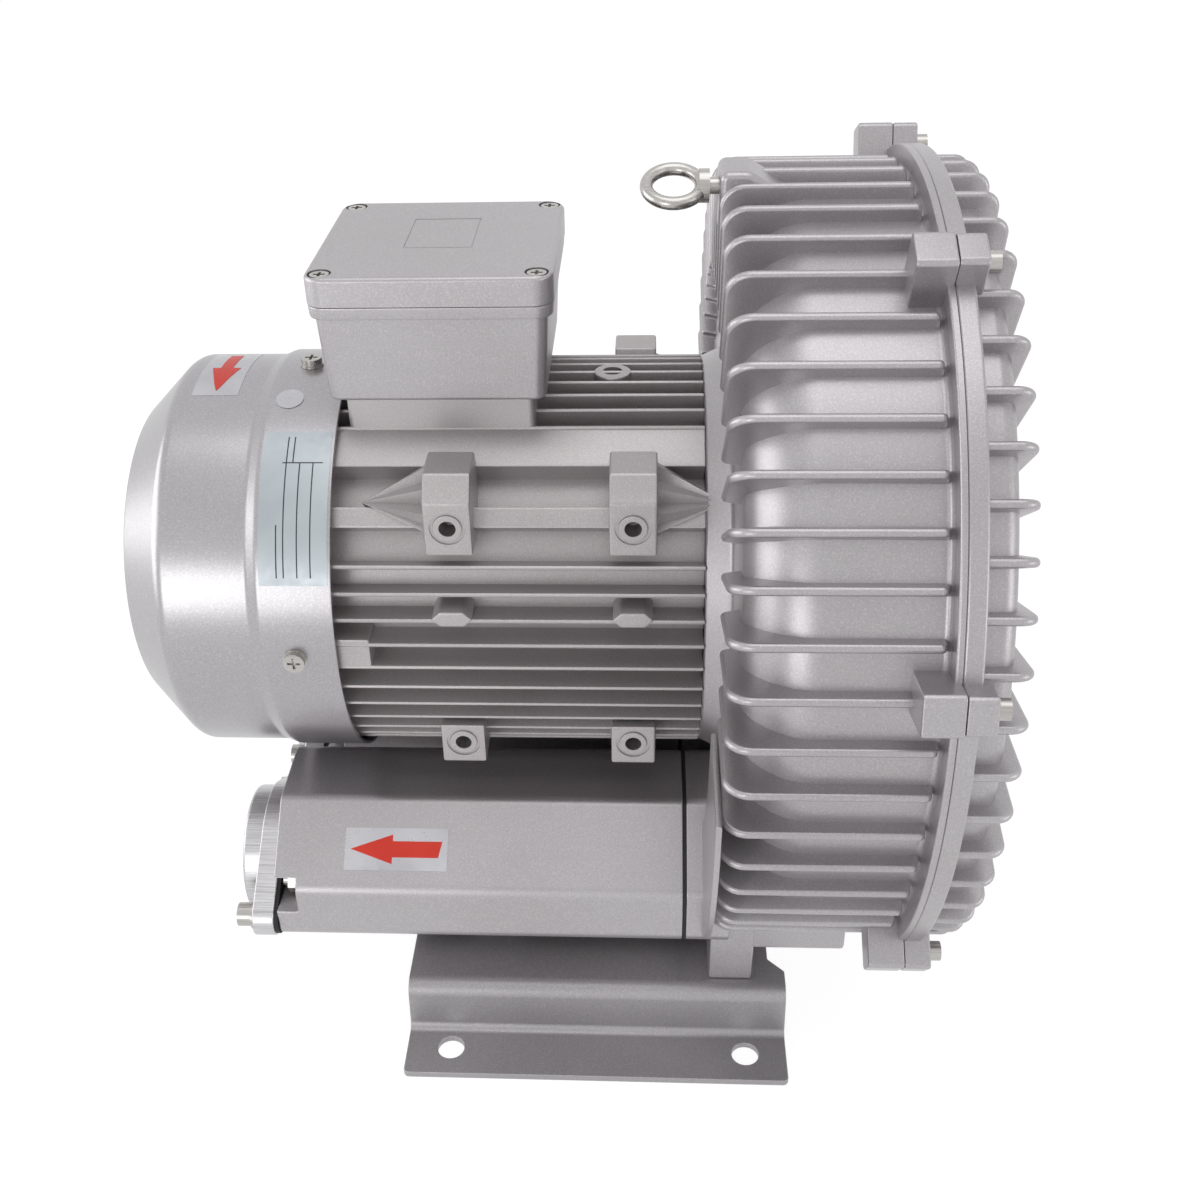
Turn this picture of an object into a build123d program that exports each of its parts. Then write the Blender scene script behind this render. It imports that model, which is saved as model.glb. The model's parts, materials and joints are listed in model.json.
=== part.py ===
"""Side channel blower with a finned motor, two silencers and a bent sheet foot.

Millimetres, +Z up. The origin lies on the floor at the centre of the foot's four fixing holes.
The shaft runs along X, with the fan end at -X and the impeller cover at +X.
"""
from build123d import *
from math import atan2, cos, degrees, radians, sin, sqrt
import os

# Foot
shaft_height = 248.0
foot_pitch_x = 166.0
foot_pitch_y = 290.0
foot_hole_d = 15.0
foot_fan_margin = 25.0
foot_cover_margin = 23.0
foot_side_margin = 18.0
foot_sheet = 4.0
foot_bend = 7.0
foot_rise = 34.0
foot_riser_y = 129.0
foot_corner = 3.0
foot_relief = 9.0
foot_relief_margin = 27.0

# Casing and cover
casing_face_x = 68.0
casing_depth = 87.0
cover_depth = 25.0
shell_r = 200.0
casing_corner = 32.0
cover_corner = 15.0
wall = 6.0
ring_r = 212.5
casing_ring = 3.0
cover_ring = 9.0
rib_count = 54
rib_r = 207.0
rib_width = 4.2
rib_proud = 8.5
cover_rib_proud = 7.0
rib_corner = 12.0
rib_root = 2.5
rib_tip_corner = 2.0
rib_end_corner = 2.0
rib_run_out = 3.0
casing_rib_phase = 11.1
cover_rib_phase = 7.8
casing_rib_gap = 6.0
face_rib_in_r = 150.0
cover_rib_in_r = 116.0
cover_dish_r = 108.0
cover_dish_depth = 8.0
cover_rib_corner = 8.0
cover_face_wall = 5.0
cover_hub_r = 40.0
cover_web_r = 46.0
cover_pocket_r = 113.0
motor_pad = 13.0
motor_pad_r = 112.0
motor_pad_foot_r = 120.0
saddle_z = 58.0
saddle_top = 100.0
port_rim_x = 57.0
port_rim = 3.0
port_rim_r = 211.0
port_rim_from = 95.0
motor_recess_x = 88.0
groove_depth = 2.4
groove_width = 3.0
neck_hole_reach = 7.0
tie_hole_depth = 15.0
flange_seat_x = 80.0
flange_thread_depth = 16.0
flange_angle = 31.3

# Ring of cover screws
boss_count = 7
boss_phase = 25.7
boss_r = 225.6
boss_width = 20.5
casing_boss = 18.0
cover_boss = 13.0
boss_corner = 4.0
boss_bite = 3.0
cover_screw_r = 3.0
cover_screw_pitch_r = 216.0
cover_screw_length = 27.0
cover_hole_play = 0.3

# Side channel and impeller
chamber_gap = 1.5
channel_in_r = 119.0
channel_depth = 20.0
channel_corner = 12.0
strip_arc = 24.0
impeller_r = 190.0
impeller_width = 56.0
impeller_gap = 1.0
impeller_vanes = 44
vane_thickness = 3.0
impeller_web = 12.0
vane_web = 4.0
impeller_rim = 6.0
impeller_hub_r = 34.0
impeller_hub_length = 68.0
impeller_disc_r = 122.0

# Shaft line
shaft_bearing_r = 15.0
shaft_rotor_r = 20.0
shaft_shoulder_r = 18.0
shaft_impeller_r = 14.0
shaft_fan_r = 12.0
fan_seat_end_x = -180.0
shaft_start_x = -216.0
shaft_end_gap = 0.5
bearing_r = 36.0
bearing_width = 19.0
bearing_race = 5.2
ball_r = 6.2
ball_count = 8
bearing_fit = 0.02
shaft_fit = 0.02
ball_fit = 0.03
front_bearing_x = 44.0
hub_wall = 10.0
seal_gap = 5.0
seal_width = 8.0
seal_r = 24.0
key_width = 8.0
key_height = 7.0
key_length = 46.0
key_seat = 4.0
key_end_gap = 4.0
key_clearance = 0.3
cage_length = 10.0
cage_half = 1.0
impeller_screw_r = 4.0
impeller_screw_length = 22.0
impeller_washer_r = 22.0
impeller_washer = 3.0
shaft_chamfer = 1.0

# Motor
frame_start_x = -134.0
frame_bore_r = 82.0
frame_wall = 8.0
fin_r = 106.0
fin_thickness = 2.6
top_fin_pitch = 6.3
top_fins_each_side = 4
side_fin_start = 64.9
side_fin_pitch = 7.4
side_fins = 16
shoulder_from = 25.2
shoulder_to = 37.4
shoulder_r = 105.0
rail_from = 48.6
rail_to = 54.4
rail_r = 104.0
core_length = 112.0
core_centre_x = -38.0
rotor_gap = 0.6
stator_bore_r = 47.0
slot_count = 24
slot_width = 6.4
slot_depth = 20.0
slot_opening_r = 50.0
slot_mouth = 2.5
winding_fit = 0.3
winding_overhang = 24.0
slot_neck = 6.0
rotor_ring = 14.0
lug_pitch_x = 89.0
lug_centre_x = -24.5
lug_width = 23.0
lug_hole_r = 4.2
lug_hole_depth = 32.0
upper_lug_outline = [(95, 51), (95, 79.5), (91, 83.5), (86, 91), (64, 92), (58, 80), (58, 51)]
upper_lug_z = 66.0
lower_lug_z = 62.0
lower_lug_y = 98.0
lower_lug_height = 24.0
lower_lug_root = 70.0
lug_hole_start = 80.0
hex_pad_y = 105.0
hex_pad_height = 13.0
hex_pad_z = 20.0
top_boss_x = 8.5
top_boss_r = 9.6
top_hole_r = 5.0
top_hole_depth = 10.0
pedestal_root = 70.0
box_fixing_depth = 10.0
end_bolt_r = 98.0
end_bolt_screw_r = 3.0
end_lug_length = 23.0
end_lug_width = 17.0
end_shield_depth = 8.0
bearing_inset = 21.0
preload_ring = 2.8
cowl_lug_arc = 12.0
cowl_gap = 0.1
shield_screw_pitch_r = 93.0
end_screw_length = 24.0
cowl_lug_in_r = 100.0
cowl_lug_start_x = -154.0
end_shield_r = 104.0
rotor_ring_in_r = 26.0
fin_root_bite = 2.0
flange_screw_r = 4.0

# Fan and cowl
cowl_end_x = -240.0
cowl_rim_x = -127.0
cowl_r = 110.0
cowl_body_r = 107.5
cowl_end_r = 82.0
cowl_sheet = 1.5
cowl_step_x = -165.0
cowl_step_length = 4.5
cowl_shoulder_x = -214.5
cowl_screw_x = -148.0
cowl_screw_r = 2.5
cowl_screw_head_r = 5.4
cowl_washer_r = 6.0
cowl_washer = 1.0
grille_slot_width = 5.0
grille_slot_pitch = 9.0
grille_r = 70.0
grille_rows = 7
fan_r = 94.0
fan_blades = 9
fan_disc = 3.0
fan_hub_r = 24.0
fan_disc_x = -185.0
blade_thickness = 3.0
retaining_ring_x = -214.4
retaining_ring = 2.0
retaining_ring_r = 16.0
retaining_groove_r = 10.6
pan_head = 3.4
cross_width = 1.4
cross_depth = 1.6

# Terminal box
box_centre_x = -75.5
box_lid = 117.0
box_lid_height = 14.0
box_lid_top = 177.3
box_corner = 10.0
box_inner_corner = 5.0
box_flange = 2.4
box_flange_inset = 1.0
box_seal = 1.5
box_seal_inset = 3.0
box_body = 111.0
box_body_foot = 106.0
box_floor = 113.5
box_wall = 3.5
box_screw_pitch = 101.5
box_screw_r = 2.5
box_screw_head_r = 4.6
box_recess_r = 5.7
box_recess_depth = 3.0
box_post_r = 4.7
pedestal_half_y = 45.5
pedestal_length = 93.0
wire_hole_r = 15.0
mark_length_x = 34.0
mark_length_y = 45.0
mark_width = 0.8
mark_depth = 0.3
box_fixing_pitch = 66.0
gland_r = 12.5
gland_nut = 15.0
gland_height = 24.0
gland_nut_length = 6.0
gland_cap_length = 5.0
gland_thread_length = 9.0
gland_locknut = 3.0
box_post_length = 22.0
recess_wall = 1.0
lid_screw_gap = 3.0
lid_screw_sink = 0.4
lid_edge = 2.5
block_length = 48.0
block_width = 26.0
block_height = 16.0
block_offset_y = 30.0
stud_pitch_x = 16.0
stud_pitch_y = 14.0
stud_r = 2.5
stud_depth = 8.0
stud_length = 10.0
stud_nut = 4.0

# Silencers and ports
port_y = 70.0
port_z = 85.0
silencer_start_x = -174.0
silencer_end_x = 48.5
silencer_top = 143.0
silencer_bottom = 40.0
silencer_half_width = 62.0
silencer_top_half = 22.0
silencer_knee = 111.0
silencer_low_knee = 80.0
silencer_corner = 9.0
silencer_wall = 4.0
silencer_end_wall = 18.0
joint_seal = 1.5
neck_hole_y = 62.0
neck_hole_z = 106.0
neck_hole_r = 22.0
sleeve_r = 30.0
sleeve_wall = 1.2
sleeve_hole_r = 4.0
foam_thickness = 8.0
sleeve_gap = 6.0
sleeve_hole_rows = 9
tie_tail = 3.0
notch_from = 104.0
notch_floor = 95.0
notch_height = 20.0
notch_length = 12.0
tie_offset = 45.0
tie_z = 104.0
tie_r = 4.0
tie_nut = 6.5
tie_nut_height = 6.5
flange_plate = 12.0
port_seal = 2.0
collar_r = 36.5
collar_length = 11.0
collar_chamfer = 1.0
port_seal_inset = 1.0
port_thread_r = 29.8
port_step = 1.2
port_screw_offset = 54.0
port_screw_r = 4.0
port_lug_r = 11.0
port_boss_r = 39.5
port_screw_length = 26.0
port_washer_r = 8.0
port_washer = 1.6
support_x = -60.0
support_length = 30.0
support_width = 24.0

# Casing legs
leg_x = 62.5
leg_length = 24.5
leg_outer_y = 118.0
leg_width = 30.0
leg_reach = 112.0
foot_bolt_r = 5.0
foot_bolt_depth = 20.0
support_bolt_r = 4.0
support_bolt_depth = 9.0

# Lifting eye
eye_seat_x = 55.6
eye_z = 201.0
eye_out_r = 16.3
eye_in_r = 10.0
eye_centre = 17.0
eye_collar_r = 8.0
eye_collar = 5.0
eye_shank_r = 4.0
eye_shank_length = 18.0
eye_tilt = 21.0
eye_boss_x = 60.0
eye_boss_r = 211.0
eye_boss_width = 30.0
eye_boss_length = 34.0

# Labels
label_thickness = 0.3
label_seat = 0.1
plate_from_x = -162.5
plate_length = 34.0
plate_from_angle = 28.3
plate_to_angle = 69.5
turn_label_x = -194.0
turn_label_width = 24.0
turn_label_from = -17.0
turn_label_to = 13.7
round_label_x = -153.5
round_label_angle = 16.8
round_label_r = 7.0
flow_label_x = -108.0
flow_label_length = 56.0
flow_label_width = 23.0
flow_label_share = 0.55

# Fits and hardware
thread_fit = 0.05
hole_play = 0.5
face_gap = 0.02
cap_head_share = 1.62
socket_width_share = 0.83
socket_share = 0.55
hex_width_share = 1.6
hex_height_share = 1.3
nut_share = 1.75
cross_share = 1.2
hole_end_gap = 1.0
bite = 1.0

# Stations worked out from the sizes above
parting_x = casing_face_x + casing_depth
cover_face_x = parting_x + cover_depth
chamber_r = impeller_r + chamber_gap
impeller_end_x = parting_x - impeller_gap
impeller_x = impeller_end_x - impeller_width
chamber_x = impeller_x - impeller_gap
channel_x = chamber_x - channel_depth
impeller_centre_x = impeller_x + impeller_width / 2
hub_start_x = impeller_end_x - impeller_hub_length
frame_end_x = casing_face_x - motor_pad
frame_root_r = frame_bore_r + frame_wall
front_bearing_end_x = front_bearing_x + bearing_width
rear_bearing_x = frame_start_x - bearing_inset
rear_bearing_end_x = rear_bearing_x + bearing_width
core_start_x = core_centre_x - core_length / 2
core_end_x = core_centre_x + core_length / 2
rotor_r = stator_bore_r - rotor_gap
foot_start_x = -foot_pitch_x / 2 - foot_fan_margin
foot_end_x = foot_pitch_x / 2 + foot_cover_margin
foot_half_y = foot_pitch_y / 2 + foot_side_margin
silencer_roof_slope = atan2(silencer_top - silencer_knee, silencer_half_width - silencer_top_half)
seal_start_x = silencer_end_x - joint_seal
box_floor_z = shaft_height + box_floor
box_lid_top_z = shaft_height + box_lid_top
box_lid_z = box_lid_top_z - box_lid_height
box_rim_z = box_lid_z - box_seal
block_top_z = box_floor_z + box_wall + block_height
gland_z = box_floor_z + gland_height
flange_end_x = silencer_start_x - port_seal
flange_start_x = flange_end_x - flange_plate
collar_start_x = flange_start_x - collar_length
boss_angles = [boss_phase + 360 / boss_count * index for index in range(boss_count)]
quarter_angles = [0, 90, 180, 270]
low_flange_angles = [180 - flange_angle, 180 + flange_angle]
flange_angles = [-flange_angle, flange_angle, *low_flange_angles]
leg_y = leg_outer_y - leg_width / 2
ball_pitch_r = (shaft_bearing_r + bearing_r) / 2
seal_x = front_bearing_end_x + seal_gap
hub_r = bearing_r + hub_wall
spigot_in_r = frame_bore_r - thread_fit - wall
spigot_out_r = frame_bore_r - thread_fit
seal_groove_r = (chamber_r + shell_r - groove_width) / 2
shaft_axis = Axis((0, 0, shaft_height), (1, 0, 0))

os.makedirs("parts", exist_ok=True)


def around(angle):
    """A plane through the shaft: local x runs along the shaft, local y is the radius.

    The angle is counted from straight up towards -Y.
    """
    turn = radians(angle)
    return Plane(origin=(0, 0, shaft_height), x_dir=(1, 0, 0), z_dir=(0, -cos(turn), -sin(turn)))


def square_on(angle, radius, x=0.0):
    """A plane that touches the cylinder of this radius, with local x along the shaft."""
    turn = radians(angle)
    out = (0, -sin(turn), cos(turn))
    origin = (x, radius * out[1], shaft_height + radius * out[2])
    return Plane(origin=origin, x_dir=(1, 0, 0), z_dir=out)


def polar_point(angle, radius):
    """Y and height of a point at this angle and radius about the shaft."""
    turn = radians(angle)
    return (-radius * sin(turn), shaft_height + radius * cos(turn))


def save(name, part):
    """Label one finished sub-part and write its STEP file."""
    part.label = name
    export_step(part, f"parts/{name}.step")


def disc_sector(radius, start, stop):
    """A pie slice of this radius about the shaft, between two angles."""
    first = polar_point(start, radius)
    middle = polar_point((start + stop) / 2, radius)
    last = polar_point(stop, radius)
    with BuildSketch() as slice_face:
        with BuildLine():
            Line((0, shaft_height), first)
            ThreePointArc(first, middle, last)
            Line(last, (0, shaft_height))
        make_face()
    return slice_face.sketch


def silencer_section(side, inset=0.0):
    """A silencer's eight-sided section, shrunk all round by inset."""
    top = silencer_top - inset
    bottom = silencer_bottom + inset
    half = silencer_half_width - inset
    slope = silencer_roof_slope
    roof = silencer_top_half - inset * (1 - cos(slope)) / sin(slope)
    drop = inset * (1 - sin(slope)) / cos(slope)
    centre = side * port_y
    with BuildSketch() as section:
        with BuildLine():
            Polyline(
                (centre - roof, bottom),
                (centre + roof, bottom),
                (centre + half, silencer_low_knee + drop),
                (centre + half, silencer_knee - drop),
                (centre + roof, top),
                (centre - roof, top),
                (centre - half, silencer_knee - drop),
                (centre - half, silencer_low_knee + drop),
                close=True,
            )
        make_face()
        fillet(section.vertices(), silencer_corner - inset)
    return section.sketch


def port_section(side, boss, lug):
    """The two-bolt oval of a port flange around one port."""
    centre = side * port_y
    with BuildSketch() as section:
        with BuildLine():
            CenterArc((centre, port_z), boss, 0, 360)
            CenterArc((centre - port_screw_offset, port_z), lug, 0, 360)
            CenterArc((centre + port_screw_offset, port_z), lug, 0, 360)
        make_hull()
    return section.sketch


def box_corners(pitch):
    """The four corners of a square pattern on the terminal box."""
    half = pitch / 2
    return [(box_centre_x + x, y) for x in (-half, half) for y in (-half, half)]


def cap_screws(x, places, radius, length, direction=1, washer_r=0.0, washer=0.0):
    """Socket cap screws along X with the washers under their heads.

    The washers lie on the face at x, and the shanks run in direction past that face by length.
    """
    seat = x - direction * washer
    if washer > 0:
        rods(x, -direction * washer, washer_r, places)
    rods(seat, -direction * radius * 2, radius * cap_head_share, places)
    rods(seat, direction * (length + washer), radius, places)
    with BuildSketch(Plane.YZ.offset(seat - direction * radius * 2)) as sockets:
        with Locations(*places):
            RegularPolygon(radius * socket_width_share, 6, major_radius=False)
    extrude(sockets.sketch, amount=direction * radius * 2 * socket_share, mode=Mode.SUBTRACT)


def turned(points, mode=Mode.ADD, start=0.0, arc=360.0):
    """Turn a closed outline of (x, radius) points about the shaft."""
    with BuildSketch(around(start)) as outline:
        with BuildLine():
            Polyline(*points, close=True)
        make_face()
    revolve(outline.sketch, axis=shaft_axis, revolution_arc=arc, mode=mode)


def ring_points(x, length, inner, outer):
    """The outline of a plain ring, for turned."""
    return [(x, inner), (x + length, inner), (x + length, outer), (x, outer)]


def rods(x, length, radius, places, mode=Mode.ADD):
    """Round bars along X, one at each (Y, height) place."""
    with BuildSketch(Plane.YZ.offset(x)) as circles:
        with Locations(*places):
            Circle(radius)
    extrude(circles.sketch, amount=length, mode=mode)


def rod(x, length, radius, mode=Mode.ADD):
    """A round bar along the shaft line."""
    rods(x, length, radius, [(0, shaft_height)], mode)


def spoke(angle, x, from_r, to_r, radius, mode=Mode.ADD):
    """A round bar that runs outward from the shaft line, between two radii."""
    with BuildSketch(square_on(angle, from_r, x)) as circle:
        Circle(radius)
    extrude(circle.sketch, amount=to_r - from_r, mode=mode)


def post(x, y, z, length, radius, mode=Mode.ADD):
    """A round upright bar that starts at height z."""
    with BuildSketch(Plane.XY.offset(z)) as circle:
        with Locations((x, y)):
            Circle(radius)
    extrude(circle.sketch, amount=length, mode=mode)


def channel_cut(from_x, to_x):
    """Cut half of the ring channel, deepest at to_x, and leave the strip between the ports."""
    inward = 1 if to_x > from_x else -1
    with BuildSketch(around(180 + strip_arc / 2)) as outline:
        with BuildLine():
            Line((from_x, channel_in_r), (from_x, chamber_r))
            Line((from_x, chamber_r), (to_x - inward * channel_corner, chamber_r))
            first = (to_x - inward * channel_corner, chamber_r)
            second = (to_x, chamber_r - channel_corner)
            RadiusArc(first, second, inward * channel_corner)
            third = (to_x, channel_in_r + channel_corner)
            Line(second, third)
            fourth = (to_x - inward * channel_corner, channel_in_r)
            RadiusArc(third, fourth, inward * channel_corner)
            Line(fourth, (from_x, channel_in_r))
        make_face()
    revolve(outline.sketch, axis=shaft_axis, revolution_arc=360 - strip_arc, mode=Mode.SUBTRACT)


def rib_planes(phase):
    """One plane on the flank of each rib round the casing."""
    return [around(phase + 360 / rib_count * index).offset(-rib_width / 2) for index in range(rib_count)]


def ring_bosses(x, length):
    """The screw bosses round the parting ring, over this stretch of the shaft's direction."""
    planes = [around(angle).offset(-boss_width / 2) for angle in boss_angles]
    with BuildSketch(*planes) as bosses:
        with Locations((x + length / 2, (shell_r - boss_bite + boss_r) / 2)):
            Rectangle(length, boss_r - shell_r + boss_bite)
    extrude(bosses.sketch, amount=boss_width)


def bearing(x, inner, outer):
    """A bearing ring between two radii, with its ball groove."""
    turned(ring_points(x, bearing_width, inner, outer))
    with BuildSketch(around(0)) as groove:
        with Locations((x + bearing_width / 2, ball_pitch_r)):
            Circle(ball_r + ball_fit)
    revolve(groove.sketch, axis=shaft_axis, mode=Mode.SUBTRACT)


# Foot: one bent sheet with two floor flanges and a raised platform
with BuildPart() as foot_bracket:
    with BuildSketch(Plane.YZ.offset(foot_start_x)):
        with BuildLine():
            FilletPolyline(
                (-foot_half_y, foot_sheet / 2),
                (-foot_riser_y, foot_sheet / 2),
                (-foot_riser_y + foot_sheet, foot_rise - foot_sheet / 2),
                (foot_riser_y - foot_sheet, foot_rise - foot_sheet / 2),
                (foot_riser_y, foot_sheet / 2),
                (foot_half_y, foot_sheet / 2),
                radius=foot_bend,
            )
        trace(line_width=foot_sheet)
    extrude(amount=foot_end_x - foot_start_x)
    fillet(
        foot_bracket.edges().filter_by(Axis.Z).filter_by(lambda e: abs(e.center().Y) > foot_half_y - bite),
        foot_corner,
    )
    with BuildSketch(Plane.XY):
        with GridLocations(foot_pitch_x, foot_pitch_y, 2, 2):
            Circle(foot_hole_d / 2)
    extrude(amount=foot_sheet, mode=Mode.SUBTRACT)
    relief_x = foot_end_x - foot_relief
    relief_y = foot_riser_y - foot_relief_margin
    with BuildSketch(Plane.XY.offset(foot_rise / 2)):
        with BuildLine():
            Polyline(
                (foot_end_x, -relief_y - foot_relief),
                (relief_x, -relief_y),
                (relief_x, relief_y),
                (foot_end_x, relief_y + foot_relief),
                close=True,
            )
        make_face()
    extrude(amount=foot_rise, mode=Mode.SUBTRACT)
    for side in (-1, 1):
        post(leg_x + leg_length / 2, side * leg_y, 0, foot_rise, foot_bolt_r + hole_play, Mode.SUBTRACT)
        post(support_x, side * port_y, 0, foot_rise, support_bolt_r + hole_play, Mode.SUBTRACT)
save("foot_bracket", foot_bracket.part)

# Bolts that hold the casing legs and the silencers to the platform
with BuildPart() as foot_bolts:
    platform_under = foot_rise - foot_sheet
    for side in (-1, 1):
        leg_place = (leg_x + leg_length / 2, side * leg_y, foot_bolt_r, foot_bolt_depth)
        support_place = (support_x, side * port_y, support_bolt_r, support_bolt_depth)
        for x, y, radius, depth in (leg_place, support_place):
            post(x, y, platform_under, foot_sheet + depth, radius)
            with BuildSketch(Plane.XY.offset(platform_under)):
                with Locations((x, y)):
                    RegularPolygon(radius * hex_width_share, 6, major_radius=False)
            extrude(amount=-radius * hex_height_share)
save("foot_bolts", foot_bolts.part)

# Motor-side casing: ribbed drum, side channel, port necks, bearing hub and legs
with BuildPart() as casing_motor_half:
    with BuildSketch(around(0)):
        with BuildLine():
            face_edge = (casing_face_x, shell_r - casing_corner)
            shell_edge = (casing_face_x + casing_corner, shell_r)
            Polyline(shell_edge, (parting_x, shell_r), (parting_x, 0), (casing_face_x, 0), face_edge)
            RadiusArc(face_edge, shell_edge, casing_corner)
        make_face()
    revolve(axis=shaft_axis)
    turned(ring_points(parting_x - casing_ring, casing_ring, shell_r - wall, ring_r))
    turned(
        [
            (frame_end_x, 0),
            (frame_end_x, motor_pad_r),
            (casing_face_x + bite, motor_pad_foot_r),
            (casing_face_x + bite, 0),
        ]
    )
    rod(front_bearing_x, casing_face_x - front_bearing_x, hub_r)
    ring_bosses(parting_x - casing_boss, casing_boss)
    eye_boss_in_r = shell_r - casing_corner / 2
    with BuildSketch(around(0).offset(-eye_boss_width / 2)):
        with Locations((eye_boss_x + eye_boss_length / 2, (eye_boss_in_r + eye_boss_r) / 2)):
            RectangleRounded(eye_boss_length, eye_boss_r - eye_boss_in_r, boss_corner)
    extrude(amount=eye_boss_width)
    for side in (-1, 1):
        with BuildSketch(Plane.YZ.offset(silencer_end_x)):
            add(silencer_section(side))
        extrude(amount=casing_face_x + 2 * bite - silencer_end_x)
        with BuildSketch(Plane.XY.offset(foot_rise)):
            with Locations((leg_x + leg_length / 2, side * leg_y)):
                Rectangle(leg_length, leg_width)
        extrude(amount=leg_reach - foot_rise)
    saddle_length = parting_x - casing_boss - leg_x
    with BuildSketch(Plane.XY.offset(saddle_z)):
        with Locations((leg_x + saddle_length / 2, 0)):
            Rectangle(saddle_length, 2 * leg_outer_y)
    extrude(amount=saddle_top - saddle_z)
    port_rim_arc = 2 * (180 - port_rim_from)
    rim_outline = ring_points(port_rim_x, port_rim, face_rib_in_r, port_rim_r)
    turned(rim_outline, start=port_rim_from, arc=port_rim_arc)
    turned(ring_points(chamber_x, casing_depth, 0, chamber_r), Mode.SUBTRACT)
    channel_cut(chamber_x, channel_x)
    recess_length = motor_recess_x - front_bearing_x
    turned(ring_points(front_bearing_x, recess_length, hub_r, spigot_in_r), Mode.SUBTRACT)
    turned(ring_points(frame_end_x - wall, 2 * wall, spigot_in_r, spigot_out_r))
    rod(front_bearing_x, bearing_width, bearing_r + bearing_fit, Mode.SUBTRACT)
    rod(front_bearing_x, chamber_x - front_bearing_x, shaft_bearing_r + hole_play, Mode.SUBTRACT)
    rod(seal_x, seal_width, seal_r + bearing_fit, Mode.SUBTRACT)
    rod(seal_x + seal_width, chamber_x - seal_x, impeller_hub_r + 2 * chamber_gap, Mode.SUBTRACT)
    groove = ring_points(parting_x - groove_depth, groove_depth, seal_groove_r, seal_groove_r + groove_width)
    turned(groove, Mode.SUBTRACT)
    for side in (-1, 1):
        hole_x = leg_x + leg_length / 2
        hole_r = foot_bolt_r + thread_fit
        post(hole_x, side * leg_y, foot_rise, foot_bolt_depth + hole_end_gap, hole_r, Mode.SUBTRACT)
    ring_places = [polar_point(angle, cover_screw_pitch_r) for angle in boss_angles]
    ring_hole_r = cover_screw_r + thread_fit
    rods(parting_x - casing_boss + hole_end_gap, casing_boss, ring_hole_r, ring_places, Mode.SUBTRACT)
    flange_places = [polar_point(angle, end_bolt_r) for angle in flange_angles]
    flange_head_r = flange_screw_r * cap_head_share + hole_play
    rods(frame_end_x, chamber_x - frame_end_x, flange_screw_r + hole_play, flange_places, Mode.SUBTRACT)
    rods(flange_seat_x, chamber_x - flange_seat_x, flange_head_r, flange_places, Mode.SUBTRACT)
    eye_place = (0, shaft_height + eye_z)
    rods(eye_seat_x, eye_shank_length + hole_end_gap, eye_shank_r + thread_fit, [eye_place], Mode.SUBTRACT)
    with BuildSketch(*rib_planes(casing_rib_phase)):
        with BuildLine():
            rib_face_x = casing_face_x - rib_proud
            rib_end_x = parting_x - casing_rib_gap
            rib_edge = FilletPolyline(
                (casing_face_x + rib_root, face_rib_in_r),
                (rib_face_x, face_rib_in_r + rib_run_out),
                (rib_face_x, rib_r),
                (rib_end_x, rib_r),
                (rib_end_x + rib_end_corner, shell_r - rib_root),
                radius=[rib_tip_corner, rib_corner, rib_end_corner],
            )
            inner_low = (casing_face_x + rib_root, shell_r - casing_corner)
            inner_high = (casing_face_x + casing_corner, shell_r - rib_root)
            Line(rib_edge @ 1, inner_high)
            RadiusArc(inner_low, inner_high, casing_corner - rib_root)
            Line(inner_low, rib_edge @ 0)
        make_face()
    extrude(amount=rib_width)
    neck_places = [(side * neck_hole_y, neck_hole_z) for side in (-1, 1)]
    neck_length = channel_x + neck_hole_reach - silencer_end_x
    rods(silencer_end_x, neck_length, neck_hole_r, neck_places, Mode.SUBTRACT)
    tie_hole_places = [
        (side * port_y + offset, tie_z) for side in (-1, 1) for offset in (-tie_offset, tie_offset)
    ]
    tie_hole_r = tie_r + thread_fit
    rods(silencer_end_x, tie_hole_depth, tie_hole_r, tie_hole_places, Mode.SUBTRACT)
    rods(rib_face_x, eye_boss_x - rib_face_x, eye_collar_r + hole_play, [eye_place], Mode.SUBTRACT)
save("casing_motor_half", casing_motor_half.part)

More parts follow.
